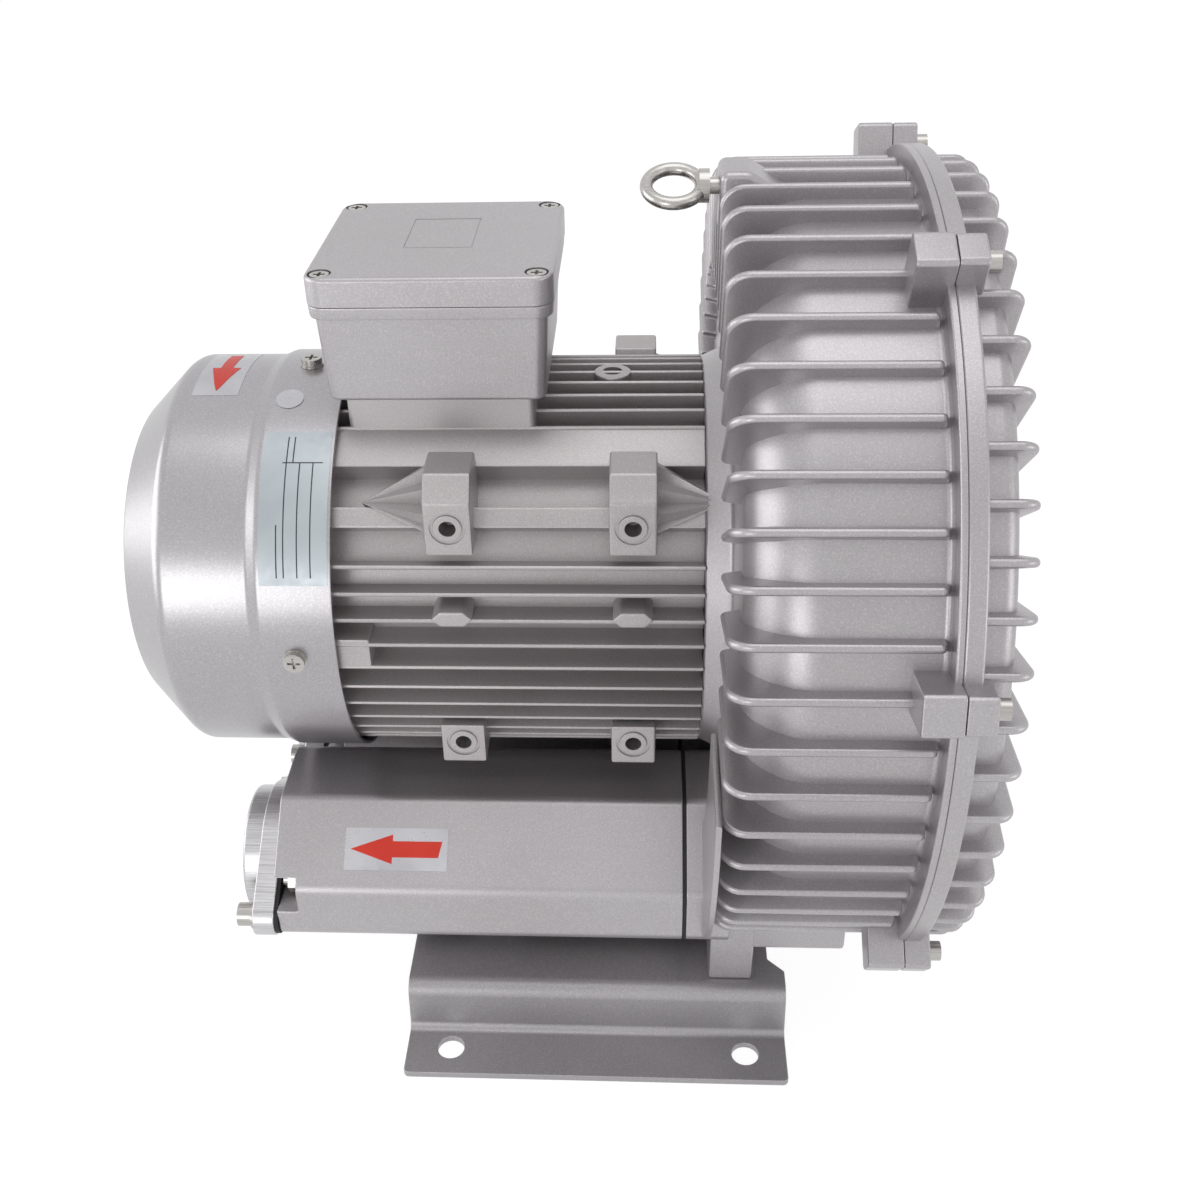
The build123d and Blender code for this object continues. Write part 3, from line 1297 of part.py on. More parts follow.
# Silencers under the motor, one for each port, with everything bolted to them
roof_y = silencer_top_half + flow_label_share * (silencer_half_width - silencer_top_half)
roof_z = silencer_top - flow_label_share * (silencer_top - silencer_knee)
for side, port in ((-1, "outlet"), (1, "inlet")):
    with BuildPart() as housing:
        with BuildSketch(Plane.YZ.offset(silencer_start_x)):
            add(silencer_section(side))
        extrude(amount=seal_start_x - silencer_start_x)
        with BuildSketch(Plane.YZ.offset(silencer_start_x + silencer_end_wall)):
            add(silencer_section(side, silencer_wall))
        extrude(amount=seal_start_x - silencer_start_x - silencer_end_wall, mode=Mode.SUBTRACT)
        with BuildSketch(Plane.XY.offset(foot_rise)):
            with Locations((support_x, side * port_y)):
                Rectangle(support_length, support_width)
        extrude(amount=silencer_bottom + silencer_wall - foot_rise)
        support_hole_r = support_bolt_r + thread_fit
        support_hole_depth = support_bolt_depth + hole_play
        post(support_x, side * port_y, foot_rise, support_hole_depth, support_hole_r, Mode.SUBTRACT)
        port_places = [(side * port_y + offset, port_z) for offset in (-port_screw_offset, port_screw_offset)]
        port_hole_depth = port_screw_length - flange_plate - port_seal + hole_end_gap
        rods(silencer_start_x, port_hole_depth, port_screw_r + thread_fit, port_places, Mode.SUBTRACT)
        passage_r = port_thread_r + port_step
        rods(silencer_start_x, silencer_end_wall, passage_r, [(side * port_y, port_z)], Mode.SUBTRACT)
        tie_places = [(side * port_y + offset, tie_z) for offset in (-tie_offset, tie_offset)]
        rods(silencer_start_x, silencer_end_wall, tie_r + hole_play, tie_places, Mode.SUBTRACT)
        notch_reach = silencer_half_width - notch_from + port_y
        for hand in (-1, 1):
            with BuildSketch(Plane.YZ.offset(silencer_start_x)):
                notch_y = side * port_y + hand * (silencer_half_width - notch_reach / 2)
                with Locations((notch_y, notch_floor + notch_height / 2)):
                    Rectangle(notch_reach, notch_height)
            extrude(amount=notch_length, mode=Mode.SUBTRACT)
    save(f"{port}_silencer", housing.part)

    with BuildPart() as seal_plate:
        with BuildSketch(Plane.YZ.offset(seal_start_x)):
            add(silencer_section(side))
            add(silencer_section(side, silencer_wall), mode=Mode.SUBTRACT)
        extrude(amount=joint_seal)
    save(f"{port}_silencer_seal", seal_plate.part)

    sleeve_x = silencer_start_x + silencer_end_wall + hole_play
    sleeve_length = seal_start_x - sleeve_gap - sleeve_x
    with BuildPart() as sleeve:
        rods(sleeve_x, sleeve_length, sleeve_r, [(side * port_y, port_z)])
        rods(sleeve_x, sleeve_length, sleeve_r - sleeve_wall, [(side * port_y, port_z)], Mode.SUBTRACT)
        hole_pitch = sleeve_length / sleeve_hole_rows
        hole_xs = [sleeve_x + hole_pitch * (row + 0.5) for row in range(sleeve_hole_rows)]
        with BuildSketch(Plane.XY.offset(port_z - sleeve_r)):
            with Locations(*[(x, side * port_y) for x in hole_xs]):
                Circle(sleeve_hole_r)
        extrude(amount=2 * sleeve_r, mode=Mode.SUBTRACT)
        with BuildSketch(Plane.XZ.offset(-side * port_y - sleeve_r)):
            with Locations(*[(x, port_z) for x in hole_xs]):
                Circle(sleeve_hole_r)
        extrude(amount=2 * sleeve_r, mode=Mode.SUBTRACT)
    save(f"{port}_sleeve", sleeve.part)

    with BuildPart() as foam:
        rods(sleeve_x, sleeve_length, sleeve_r + foam_thickness, [(side * port_y, port_z)])
        rods(sleeve_x, sleeve_length, sleeve_r, [(side * port_y, port_z)], Mode.SUBTRACT)
    save(f"{port}_foam", foam.part)

    with BuildPart() as tie_rods:
        nut_x = silencer_start_x + notch_length - tie_nut_height
        rod_start = nut_x - tie_tail
        rod_end = silencer_end_x + tie_hole_depth - hole_end_gap
        rods(rod_start, rod_end - rod_start, tie_r, tie_places)
        with BuildSketch(Plane.YZ.offset(nut_x)):
            with Locations(*tie_places):
                RegularPolygon(tie_nut, 6, major_radius=False)
        extrude(amount=tie_nut_height)
    save(f"{port}_tie_rods", tie_rods.part)

    with BuildPart() as port_flange:
        with BuildSketch(Plane.YZ.offset(flange_start_x)):
            add(port_section(side, port_boss_r, port_lug_r))
        extrude(amount=flange_plate)
        rods(collar_start_x, collar_length, collar_r, [(side * port_y, port_z)])
        collar_edges = port_flange.edges().filter_by(GeomType.CIRCLE).group_by(Axis.X)[0]
        chamfer(collar_edges, collar_chamfer)
        port_depth = flange_end_x - collar_start_x
        rods(collar_start_x, port_depth, port_thread_r, [(side * port_y, port_z)], Mode.SUBTRACT)
        rods(flange_start_x, flange_plate, port_screw_r + hole_play, port_places, Mode.SUBTRACT)
    save(f"{port}_port_flange", port_flange.part)

    with BuildPart() as flange_seal:
        with BuildSketch(Plane.YZ.offset(flange_end_x)):
            add(port_section(side, port_boss_r - port_seal_inset, port_lug_r - port_seal_inset))
            with Locations((side * port_y, port_z)):
                Circle(passage_r, mode=Mode.SUBTRACT)
            with Locations(*port_places):
                Circle(port_screw_r + hole_play, mode=Mode.SUBTRACT)
        extrude(amount=port_seal)
    save(f"{port}_port_seal", flange_seal.part)

    with BuildPart() as port_screws:
        cap_screws(
            flange_start_x, port_places, port_screw_r, port_screw_length, 1, port_washer_r, port_washer
        )
    save(f"{port}_port_screws", port_screws.part)

    with BuildPart() as flow_label:
        roof = Plane(
            origin=(flow_label_x, -port_y - roof_y, roof_z),
            x_dir=(1, 0, 0),
            z_dir=(0, -sin(silencer_roof_slope), cos(silencer_roof_slope)),
        )
        with BuildSketch(roof):
            Rectangle(flow_label_length, flow_label_width)
        extrude(amount=label_thickness)
        if side > 0:
            mirror(about=Plane.XZ, mode=Mode.REPLACE)
    save(f"{port}_flow_label", flow_label.part)

# Lifting eye screwed into the boss on top of the casing
with BuildPart() as lifting_eye:
    eye_height = shaft_height + eye_z
    eye_place = [(0, eye_height)]
    rods(eye_seat_x, eye_shank_length, eye_shank_r, eye_place)
    rods(eye_seat_x - eye_collar, eye_collar, eye_collar_r, eye_place)
    tilt = radians(eye_tilt)
    ring_plane = Plane(
        origin=(eye_seat_x - eye_centre, 0, eye_height),
        x_dir=(1, 0, 0),
        z_dir=(0, -sin(tilt), cos(tilt)),
    )
    with Locations(ring_plane):
        Torus((eye_out_r + eye_in_r) / 2, (eye_out_r - eye_in_r) / 2)
save("lifting_eye", lifting_eye.part)

# Plates and stickers on the cowl
with BuildPart() as nameplate:
    plate_r = cowl_r + label_seat
    plate = ring_points(plate_from_x, plate_length, plate_r, plate_r + label_thickness)
    turned(plate, start=plate_from_angle, arc=plate_to_angle - plate_from_angle)
save("nameplate", nameplate.part)

with BuildPart() as rotation_label:
    sticker_x = turn_label_x - turn_label_width / 2
    sticker_in_r = cowl_body_r + label_seat
    sticker = ring_points(sticker_x, turn_label_width, sticker_in_r, sticker_in_r + label_thickness)
    turned(sticker, start=turn_label_from, arc=turn_label_to - turn_label_from)
save("rotation_label", rotation_label.part)

with BuildPart() as round_label:
    sticker_x = round_label_x - round_label_r
    sticker_in_r = cowl_r + label_seat
    sticker = ring_points(sticker_x, 2 * round_label_r, sticker_in_r, sticker_in_r + label_thickness)
    span = 2 * degrees(round_label_r / cowl_r) + bite
    turned(sticker, start=round_label_angle - span / 2, arc=span)
    with BuildSketch(square_on(round_label_angle, cowl_r - 2 * cowl_sheet, round_label_x)):
        Circle(round_label_r)
    extrude(amount=4 * cowl_sheet, mode=Mode.INTERSECT)
save("round_label", round_label.part)
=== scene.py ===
"""Looks of a side channel blower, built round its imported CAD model."""
import json
import math

import bmesh
import bpy
from mathutils import Matrix, Vector


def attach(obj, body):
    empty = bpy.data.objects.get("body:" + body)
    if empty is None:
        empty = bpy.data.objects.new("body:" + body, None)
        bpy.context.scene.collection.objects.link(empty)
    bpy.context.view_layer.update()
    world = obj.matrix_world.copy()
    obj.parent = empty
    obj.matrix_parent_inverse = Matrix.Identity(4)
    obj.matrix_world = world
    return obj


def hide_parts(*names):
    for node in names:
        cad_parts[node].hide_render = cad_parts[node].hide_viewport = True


bl_info = {
    "name": "Side channel blower",
    "version": (1, 0, 0),
    "blender": (4, 5, 0),
    "location": "View3D > Sidebar > Blower",
    "description": "Builds the pieces, finishes and stage of a side channel blower",
    "category": "Object",
}

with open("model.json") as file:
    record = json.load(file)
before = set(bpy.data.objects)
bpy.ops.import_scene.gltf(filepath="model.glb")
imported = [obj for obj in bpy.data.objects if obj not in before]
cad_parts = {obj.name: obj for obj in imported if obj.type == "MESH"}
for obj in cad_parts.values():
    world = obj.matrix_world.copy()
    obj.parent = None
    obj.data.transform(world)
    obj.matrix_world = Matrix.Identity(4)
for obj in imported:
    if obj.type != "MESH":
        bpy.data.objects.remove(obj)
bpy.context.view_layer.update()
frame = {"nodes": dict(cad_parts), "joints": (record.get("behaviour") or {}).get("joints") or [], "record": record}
SHAFT_Z = frame["joints"][0]["pos_m"][2]
MM = 0.001

# Places and sizes in millimetres, in the frame of the CAD model
SHAFT = SHAFT_Z / MM  # height of the shaft
BOX_X = -75.5  # middle of the terminal box
BOX_TOP = 425.3  # top of its lid
FRAME_ENDS = (-134, 55)  # ends of the motor frame
FRAME_R = 88  # where fins, shoulders and ears start, inside the frame's wall
LUG_X = (-69, 20)  # middles of the mounting lugs
PARTING_X = 155  # plane where the casing meets its cover
PARTING_R = 212.4  # rim of both halves at that plane
BOSS_COUNT, BOSS_FIRST = 7, 25.7  # screw bosses round the rim, and the first one's angle
COWL_R, COWL_WAIST_R = 110, 107.5  # outside of the cowl's front and rear bands
PORT_Y, PORT_Z = 70, 85  # middle of a silencer and its port, and the port's height
PORT_MOUTH, PORT_END = -199, -176  # where the port's thread starts and ends
THREAD_PITCH, THREAD_ROOT, THREAD_CREST = 2.309, 29.7, 28.4

# The camera, worked out from the photograph: picture width, focal length and the point that
# the line of sight meets, in pixels; its turns in degrees; its place in metres
PICTURE, FOCAL, SIGHT = 1200, 1406.15, (563.79, 601.45)
PITCH_DOWN, YAW, ROLL = 32.652, -3.881, -1.843
EYE = (0.0253, -0.67617, 0.64643)
SENSOR = 36  # sensor width in millimetres

# Finishes that several pieces share
CAST, PRESSED = "Silver paint on castings", "Silver paint on pressed steel"
# The foot's finish is the castings' paint made darker as painted shade
FINS, FOOT = "Silver paint on fins", "Silver paint on the foot with painted shade"
ALUMINIUM, PLATE, LABEL = "Machined aluminium", "Anodised nameplate", "Silver label film"


# Meshes

def new_piece(name, verts, faces):
    """An object from corner points in metres and faces, with its normals turned outward."""
    mesh = bpy.data.meshes.new(name)
    mesh.from_pydata(verts, [], faces)
    piece = bpy.data.objects.new(name, mesh)
    bpy.context.scene.collection.objects.link(piece)
    tidy_mesh(piece)
    return piece


def tidy_mesh(piece):
    """Merges doubles and turns the faces outward."""
    work = bmesh.new()
    work.from_mesh(piece.data)
    bmesh.ops.remove_doubles(work, verts=work.verts, dist=1e-6)
    bmesh.ops.recalc_face_normals(work, faces=work.faces)
    work.to_mesh(piece.data)
    work.free()


def prism_faces(count):
    """The ends, then the sides, of a prism whose corners are two rings of count points."""
    faces = [tuple(range(count)), tuple(range(2 * count - 1, count - 1, -1))]
    for corner in range(count):
        after = (corner + 1) % count
        faces.append((corner, after, count + after, count + corner))
    return faces


def round_shaft(x, angle, radius):
    """A point in metres round the shaft line, by its angle in degrees from the top."""
    turn = math.radians(angle)
    return (x * MM, -radius * math.sin(turn) * MM, (SHAFT + radius * math.cos(turn)) * MM)


def turned(name, profile, steps=180, centre=None):
    """Turns a closed outline of (x, radius) points in millimetres about a line along X."""
    across, height = centre or (0.0, SHAFT)
    verts = []
    for step in range(steps):
        turn = 2 * math.pi * step / steps
        for x, radius in profile:
            y, z = across - radius * math.sin(turn), height + radius * math.cos(turn)
            verts.append((x * MM, y * MM, z * MM))
    count = len(profile)
    faces = []
    for step in range(steps):
        here, there = step * count, (step + 1) % steps * count
        for corner in range(count):
            after = (corner + 1) % count
            faces.append((here + corner, here + after, there + after, there + corner))
    return new_piece(name, verts, faces)


def prism(name, outline, low, high, axis="X"):
    """Pulls a closed outline in millimetres along X, Y or Z, from low to high."""
    verts = []
    for level in (low, high):
        for a, b in outline:
            place = {"X": (level, a, b), "Y": (a, level, b), "Z": (a, b, level)}[axis]
            verts.append([value * MM for value in place])
    return new_piece(name, verts, prism_faces(len(outline)))


def block(name, low, high):
    """A block between two corners in millimetres."""
    outline = [(low[1], low[2]), (high[1], low[2]), (high[1], high[2]), (low[1], high[2])]
    return prism(name, outline, low[0], high[0])


def rounded(outline, radius, steps=6):
    """The outline with each corner rounded; radius is one number or one for each corner."""
    radii = radius if isinstance(radius, (list, tuple)) else [radius] * len(outline)
    result = []
    for index, (corner, size) in enumerate(zip(outline, radii)):
        here = Vector(corner)
        before = Vector(outline[index - 1]) - here
        after = Vector(outline[(index + 1) % len(outline)]) - here
        if size <= 0 or before.length == 0 or after.length == 0:
            result.append(tuple(here))
            continue
        a, b = before.normalized(), after.normalized()
        half = math.acos(max(-1.0, min(1.0, a.dot(b)))) / 2
        if half > math.radians(88):
            result.append(tuple(here))
            continue
        reach = min(size / math.tan(half), before.length * 0.49, after.length * 0.49)
        size = reach * math.tan(half)
        centre = here + (a + b).normalized() * (size / math.sin(half))
        start, end = here + a * reach - centre, here + b * reach - centre
        for step in range(steps + 1):
            share = step / steps
            direction = start.lerp(end, share)
            result.append(tuple(centre + direction.normalized() * size))
    return result


def bake(piece):
    """Turns the piece and its modifiers into a plain mesh under the same name."""
    graph = bpy.context.evaluated_depsgraph_get()
    mesh = bpy.data.meshes.new_from_object(piece.evaluated_get(graph))
    name, old = piece.name, piece.data
    piece.modifiers.clear()
    piece.data = mesh
    bpy.data.meshes.remove(old)
    mesh.name = name
    return piece


def eased(piece, width, segments=2, angle=32):
    """Rounds the piece's edges by width in millimetres."""
    soft = piece.modifiers.new("Eased edges", "BEVEL")
    soft.width = width * MM
    soft.segments = segments
    soft.limit_method = "ANGLE"
    soft.angle_limit = math.radians(angle)
    soft.use_clamp_overlap = False
    soft.miter_outer = "MITER_ARC"
    return bake(piece)


def cut(piece, *tools):
    """Takes the tools' shapes out of the piece."""
    for tool in tools:
        hole = piece.modifiers.new("Cut", "BOOLEAN")
        hole.operation = "DIFFERENCE"
        hole.solver = "EXACT"
        hole.object = tool
    bake(piece)
    for tool in tools:
        bpy.data.objects.remove(tool)
    return piece


def joined(name, *pieces):
    """One object from several."""
    work = bmesh.new()
    for piece in pieces:
        work.from_mesh(piece.data)
    mesh = bpy.data.meshes.new(name)
    work.to_mesh(mesh)
    work.free()
    for piece in pieces:
        bpy.data.objects.remove(piece)
    whole = bpy.data.objects.new(name, mesh)
    bpy.context.scene.collection.objects.link(whole)
    return whole


def softened(piece, angle=35):
    """Shades the piece smooth, with sharper edges left crisp and broad faces left flat."""
    piece.data.shade_smooth()
    piece.data.set_sharp_from_angle(angle=math.radians(angle))
    weigh = piece.modifiers.new("Weighted normals", "WEIGHTED_NORMAL")
    weigh.keep_sharp = True
    return bake(piece)


def cad_copy(node, name, dissolve=0.6):
    """A merged copy of a CAD node's mesh, with its flat faces made whole."""
    piece = bpy.data.objects.new(name, frame["nodes"][node].data.copy())
    bpy.context.scene.collection.objects.link(piece)
    piece.data.materials.clear()
    work = bmesh.new()
    work.from_mesh(piece.data)
    bmesh.ops.remove_doubles(work, verts=work.verts, dist=2e-6)
    bmesh.ops.dissolve_limit(
        work,
        angle_limit=math.radians(dissolve),
        verts=work.verts,
        edges=work.edges,
        delimit={"NORMAL"},
    )
    work.to_mesh(piece.data)
    work.free()
    return piece


def material_slots():
    """The material slot of each CAD node, by the node's name."""
    return {item["node"]: item["material_slot"] for item in frame["record"]["subparts"]}


def finished(piece, body, material, *nodes):
    """Gives the piece its finish, sets it on its body and hides the CAD nodes it stands for."""
    softened(piece)
    piece.data.materials.clear()
    piece.data.materials.append(bpy.data.materials[material])
    for face in piece.data.polygons:
        face.material_index = 0
    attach(piece, body)
    if nodes:
        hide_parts(*nodes)
    return piece


# Geometry Nodes

def add_node(tree, kind, settings=None, **links):
    """Adds a node, with its settings and its inputs, which are values or other nodes' outputs."""
    made = tree.nodes.new(kind)
    for key, value in (settings or {}).items():
        setattr(made, key, value)
    for key, value in links.items():
        numbered = key[0] == "i" and key[1:].isdigit()
        socket = made.inputs[int(key[1:]) if numbered else key]
        if isinstance(value, bpy.types.NodeSocket):
            tree.links.new(value, socket)
        else:
            socket.default_value = value
    return made


def ring_tree():
    """A tree that repeats a piece round the shaft line, from a first angle by equal steps."""
    tree = bpy.data.node_groups.new("Ring of pieces", "GeometryNodeTree")
    wanted = (
        ("Geometry", "NodeSocketGeometry"),
        ("Count", "NodeSocketInt"),
        ("First angle", "NodeSocketFloat"),
        ("Step", "NodeSocketFloat"),
        ("Axis height", "NodeSocketFloat"),
        ("Finish", "NodeSocketMaterial"),
    )
    for name, kind in wanted:
        tree.interface.new_socket(name, in_out="INPUT", socket_type=kind)
    tree.interface.new_socket("Geometry", in_out="OUTPUT", socket_type="NodeSocketGeometry")
    inputs = add_node(tree, "NodeGroupInput").outputs
    start = add_node(tree, "ShaderNodeCombineXYZ", Z=inputs["Axis height"]).outputs[0]
    line = add_node(tree, "GeometryNodeMeshLine", {"mode": "OFFSET"}, Count=inputs["Count"])
    tree.links.new(start, line.inputs["Start Location"])
    line.inputs["Offset"].default_value = (0, 0, 0)
    index = add_node(tree, "GeometryNodeInputIndex").outputs[0]
    step = inputs["Step"]
    turn = add_node(tree, "ShaderNodeMath", {"operation": "MULTIPLY_ADD"}, i0=index, i1=step)
    tree.links.new(inputs["First angle"], turn.inputs[2])
    angles = add_node(tree, "ShaderNodeCombineXYZ", X=turn.outputs[0]).outputs[0]
    rotation = add_node(tree, "FunctionNodeEulerToRotation", i0=angles).outputs[0]
    copies = add_node(
        tree,
        "GeometryNodeInstanceOnPoints",
        Points=line.outputs[0],
        Instance=inputs["Geometry"],
        Rotation=rotation,
    )
    real = add_node(tree, "GeometryNodeRealizeInstances", i0=copies.outputs[0])
    finish = inputs["Finish"]
    coated = add_node(
        tree, "GeometryNodeSetMaterial", Geometry=real.outputs[0], Material=finish
    )
    add_node(tree, "NodeGroupOutput", i0=coated.outputs[0])
    return tree


def ring_of(piece, count, first, step, material):
    """Repeats a piece that is made about the x axis, at equal angles in degrees round the shaft."""
    tree = bpy.data.node_groups.get("Ring of pieces") or ring_tree()
    repeat = piece.modifiers.new("Ring", "NODES")
    repeat.node_group = tree
    values = {
        "Count": count,
        "First angle": math.radians(first),
        "Step": math.radians(step),
        "Axis height": SHAFT_Z,
        "Finish": bpy.data.materials[material],
    }
    for item in tree.interface.items_tree:
        if item.in_out == "INPUT" and item.name in values:
            repeat[item.identifier] = values[item.name]
    return bake(piece)


# Finishes

def linear(hex_colour):
    """An sRGB hex colour as linear values."""
    parts = [int(hex_colour[i : i + 2], 16) / 255 for i in (1, 3, 5)]
    return [v / 12.92 if v <= 0.04045 else ((v + 0.055) / 1.055) ** 2.4 for v in parts] + [1.0]


def shader(name):
    """A new node material: its tree, its main shader and its object coordinates."""
    material = bpy.data.materials.new(name)
    material.use_nodes = True
    tree = material.node_tree
    tree.nodes.clear()
    main = add_node(tree, "ShaderNodeBsdfPrincipled")
    output = add_node(tree, "ShaderNodeOutputMaterial")
    tree.links.new(main.outputs[0], output.inputs[0])
    place = add_node(tree, "ShaderNodeTexCoord").outputs["Object"]
    return tree, main, place


def grain(tree, place, size_mm, detail=2.0, rough=0.5):
    """Noise whose spots are about size_mm wide."""
    scale = 0.5 / (size_mm * MM)
    noise = add_node(
        tree, "ShaderNodeTexNoise", None, Vector=place, Scale=scale, Detail=detail, Roughness=rough
    )
    return noise.outputs["Fac"]


def remap(tree, value, low, high, to_low, to_high):
    """Stretches a value from one range to another and clamps it."""
    node = add_node(tree, "ShaderNodeMapRange", {"clamp": True}, Value=value)
    ends = {"From Min": low, "From Max": high, "To Min": to_low, "To Max": to_high}
    for socket, number in ends.items():
        node.inputs[socket].default_value = number
    return node.outputs[0]


def blend(tree, share, first, second):
    """Mixes two colours, each a hex text or a socket, by a share that is a number or a socket."""
    node = add_node(tree, "ShaderNodeMix", {"data_type": "RGBA"}, i0=share)
    for socket, value in ((node.inputs[6], first), (node.inputs[7], second)):
        if isinstance(value, bpy.types.NodeSocket):
            tree.links.new(value, socket)
        else:
            socket.default_value = linear(value)
    return node.outputs[2]


def bumped(tree, main, height, distance_mm, strength):
    """Raises the surface a little where height is high."""
    bump = add_node(
        tree, "ShaderNodeBump", None, Height=height, Distance=distance_mm * MM, Strength=strength
    )
    tree.links.new(bump.outputs[0], main.inputs["Normal"])


def cast_paint(name, light, dark, roughness, metallic=0.72, skin=0.22):
    """Silver paint on metal: slow clouds of tone, fine flakes, uneven gloss and a sandy skin."""
    tree, main, place = shader(name)
    cloud = remap(tree, grain(tree, place, size_mm=60, detail=3.0), 0.3, 0.7, 0.0, 1.0)
    body = blend(tree, cloud, dark, light)
    flake = remap(tree, grain(tree, place, size_mm=0.35, detail=0.0), 0.5, 0.75, 0.0, 0.2)
    body = blend(tree, flake, body, "#E4E1E0")
    pore = remap(tree, grain(tree, place, size_mm=0.4, detail=0.0), 0.62, 0.74, 0.0, 0.15)
    body = blend(tree, pore, body, "#7C7776")
    tree.links.new(body, main.inputs["Base Color"])
    gloss = grain(tree, place, size_mm=30, detail=1.0)
    sheen = remap(tree, gloss, 0.3, 0.7, roughness - 0.02, roughness + 0.03)
    tree.links.new(sheen, main.inputs["Roughness"])
    main.inputs["Metallic"].default_value = metallic
    sand = grain(tree, place, size_mm=0.5, detail=1.0)
    bumped(tree, main, sand, distance_mm=0.02, strength=skin)


def brushed(name, light, dark, roughness, along=(1.0, 40.0, 40.0), line_mm=0.35):
    """Rolled or machined metal: fine lines along one way, with softly varied gloss."""
    tree, main, place = shader(name)
    stretch = add_node(tree, "ShaderNodeMapping", None, Vector=place, Scale=along).outputs[0]
    scale = 0.012 / (line_mm * MM)
    noise = add_node(tree, "ShaderNodeTexNoise", None, Vector=stretch, Scale=scale, Detail=3.0)
    lines = noise.outputs["Fac"]
    cloud = grain(tree, place, size_mm=40)
    body = blend(tree, remap(tree, lines, 0.35, 0.65, 0.0, 1.0), dark, light)
    body = blend(tree, remap(tree, cloud, 0.4, 0.8, 0.0, 0.25), body, dark)
    tree.links.new(body, main.inputs["Base Color"])
    gloss = remap(tree, lines, 0.3, 0.7, roughness - 0.05, roughness + 0.07)
    tree.links.new(gloss, main.inputs["Roughness"])
    main.inputs["Metallic"].default_value = 1.0
    bumped(tree, main, lines, distance_mm=0.02, strength=0.25)


def moulded(name, light, dark, roughness, size_mm=0.8, metallic=0.0, bump=0.3):
    """Moulded plastic, rubber, foam or print: a fine skin with a little colour change."""
    tree, main, place = shader(name)
    skin = grain(tree, place, size_mm, detail=3.0)
    cloud = remap(tree, grain(tree, place, size_mm=18), 0.35, 0.65, 0.0, 1.0)
    body = blend(tree, cloud, dark, light)
    tree.links.new(body, main.inputs["Base Color"])
    gloss = remap(tree, skin, 0.3, 0.7, roughness - 0.06, roughness + 0.08)
    tree.links.new(gloss, main.inputs["Roughness"])
    main.inputs["Metallic"].default_value = metallic
    bumped(tree, main, skin, distance_mm=0.05, strength=bump)


def laminated(name):
    """A stack of punched electrical steel sheets, seen as thin lines across the shaft."""
    tree, main, place = shader(name)
    along = (1.0, 0.02, 0.02)
    stretch = add_node(tree, "ShaderNodeMapping", None, Vector=place, Scale=along).outputs[0]
    noise = add_node(tree, "ShaderNodeTexNoise", None, Vector=stretch, Scale=900.0, Detail=1.0)
    sheets = noise.outputs["Fac"]
    body = blend(tree, remap(tree, sheets, 0.35, 0.65, 0.0, 1.0), "#4E5157", "#8C8F94")
    tree.links.new(body, main.inputs["Base Color"])
    main.inputs["Metallic"].default_value = 0.9
    main.inputs["Roughness"].default_value = 0.45
    bumped(tree, main, sheets, distance_mm=0.05, strength=0.4)


SLOT_FINISH = {
    "silver_casting_paint": CAST,
    "cowl_paint": PRESSED,
    "dark_foot_paint": FOOT,
    "bare_aluminium": ALUMINIUM,
    "zinc_steel": "Zinc-plated steel",
    "steel": "Ground shaft steel",
    "bearing_steel": "Polished bearing steel",
    "rubber_black": "Black rubber",
    "foam_grey": "Grey acoustic foam",
    "copper_winding": "Varnished copper wire",
    "core_steel": "Laminated core steel",
    "brass_stud": "Brass studs",
    "terminal_plastic": "Black terminal plastic",
    "gland_plastic": "Grey gland plastic",
    "fan_plastic": "Black fan plastic",
    "silver_label": LABEL,
    "plate_metal": PLATE,
}


class BlowerSizes(bpy.types.PropertyGroup):
    """Sizes and counts of the dressed pieces, in millimetres and degrees."""

    rib_count: bpy.props.IntProperty(
        name="Ribs", description="Ribs round each casing half", default=54
    )
    rib_root: bpy.props.FloatProperty(
        name="Rib root", description="Rib thickness at its root, mm", default=6.6
    )
    rib_crest: bpy.props.FloatProperty(
        name="Rib crest", description="Rib thickness at its crest, mm", default=4.2
    )
    casing_phase: bpy.props.FloatProperty(
        name="Casing phase", description="Angle of the first casing rib, degrees", default=11.1
    )
    cover_phase: bpy.props.FloatProperty(
        name="Cover phase", description="Angle of the first cover rib, degrees", default=7.8
    )
    edge: bpy.props.FloatProperty(
        name="Cast edge", description="Rounding of cast edges, mm", default=1.2
    )
    fin_tip: bpy.props.FloatProperty(
        name="Fin tip", description="Motor fin thickness at its tip, mm", default=2.2
    )
    fin_root: bpy.props.FloatProperty(
        name="Fin root", description="Motor fin thickness at its root, mm", default=3.4
    )


class BlowerLight(bpy.types.PropertyGroup):
    """Light levels of the stage."""

    front: bpy.props.FloatProperty(
        name="Front softbox", description="Power of the low front softbox, W", default=5.5
    )
    left: bpy.props.FloatProperty(
        name="Left softbox", description="Power of the left softbox, W", default=15.0
    )
    top: bpy.props.FloatProperty(
        name="Top lamp", description="Power of the top lamp, W", default=7.0
    )
    right: bpy.props.FloatProperty(
        name="Right lamp", description="Power of the right lamp, W", default=4.0
    )
    sky: bpy.props.FloatProperty(
        name="Surroundings", description="Strength of the surroundings", default=0.5
    )
    floor: bpy.props.FloatVectorProperty(
        name="Floor",
        description="Colour of the floor",
        subtype="COLOR",
        size=3,
        default=(0.93, 0.93, 0.93),
    )


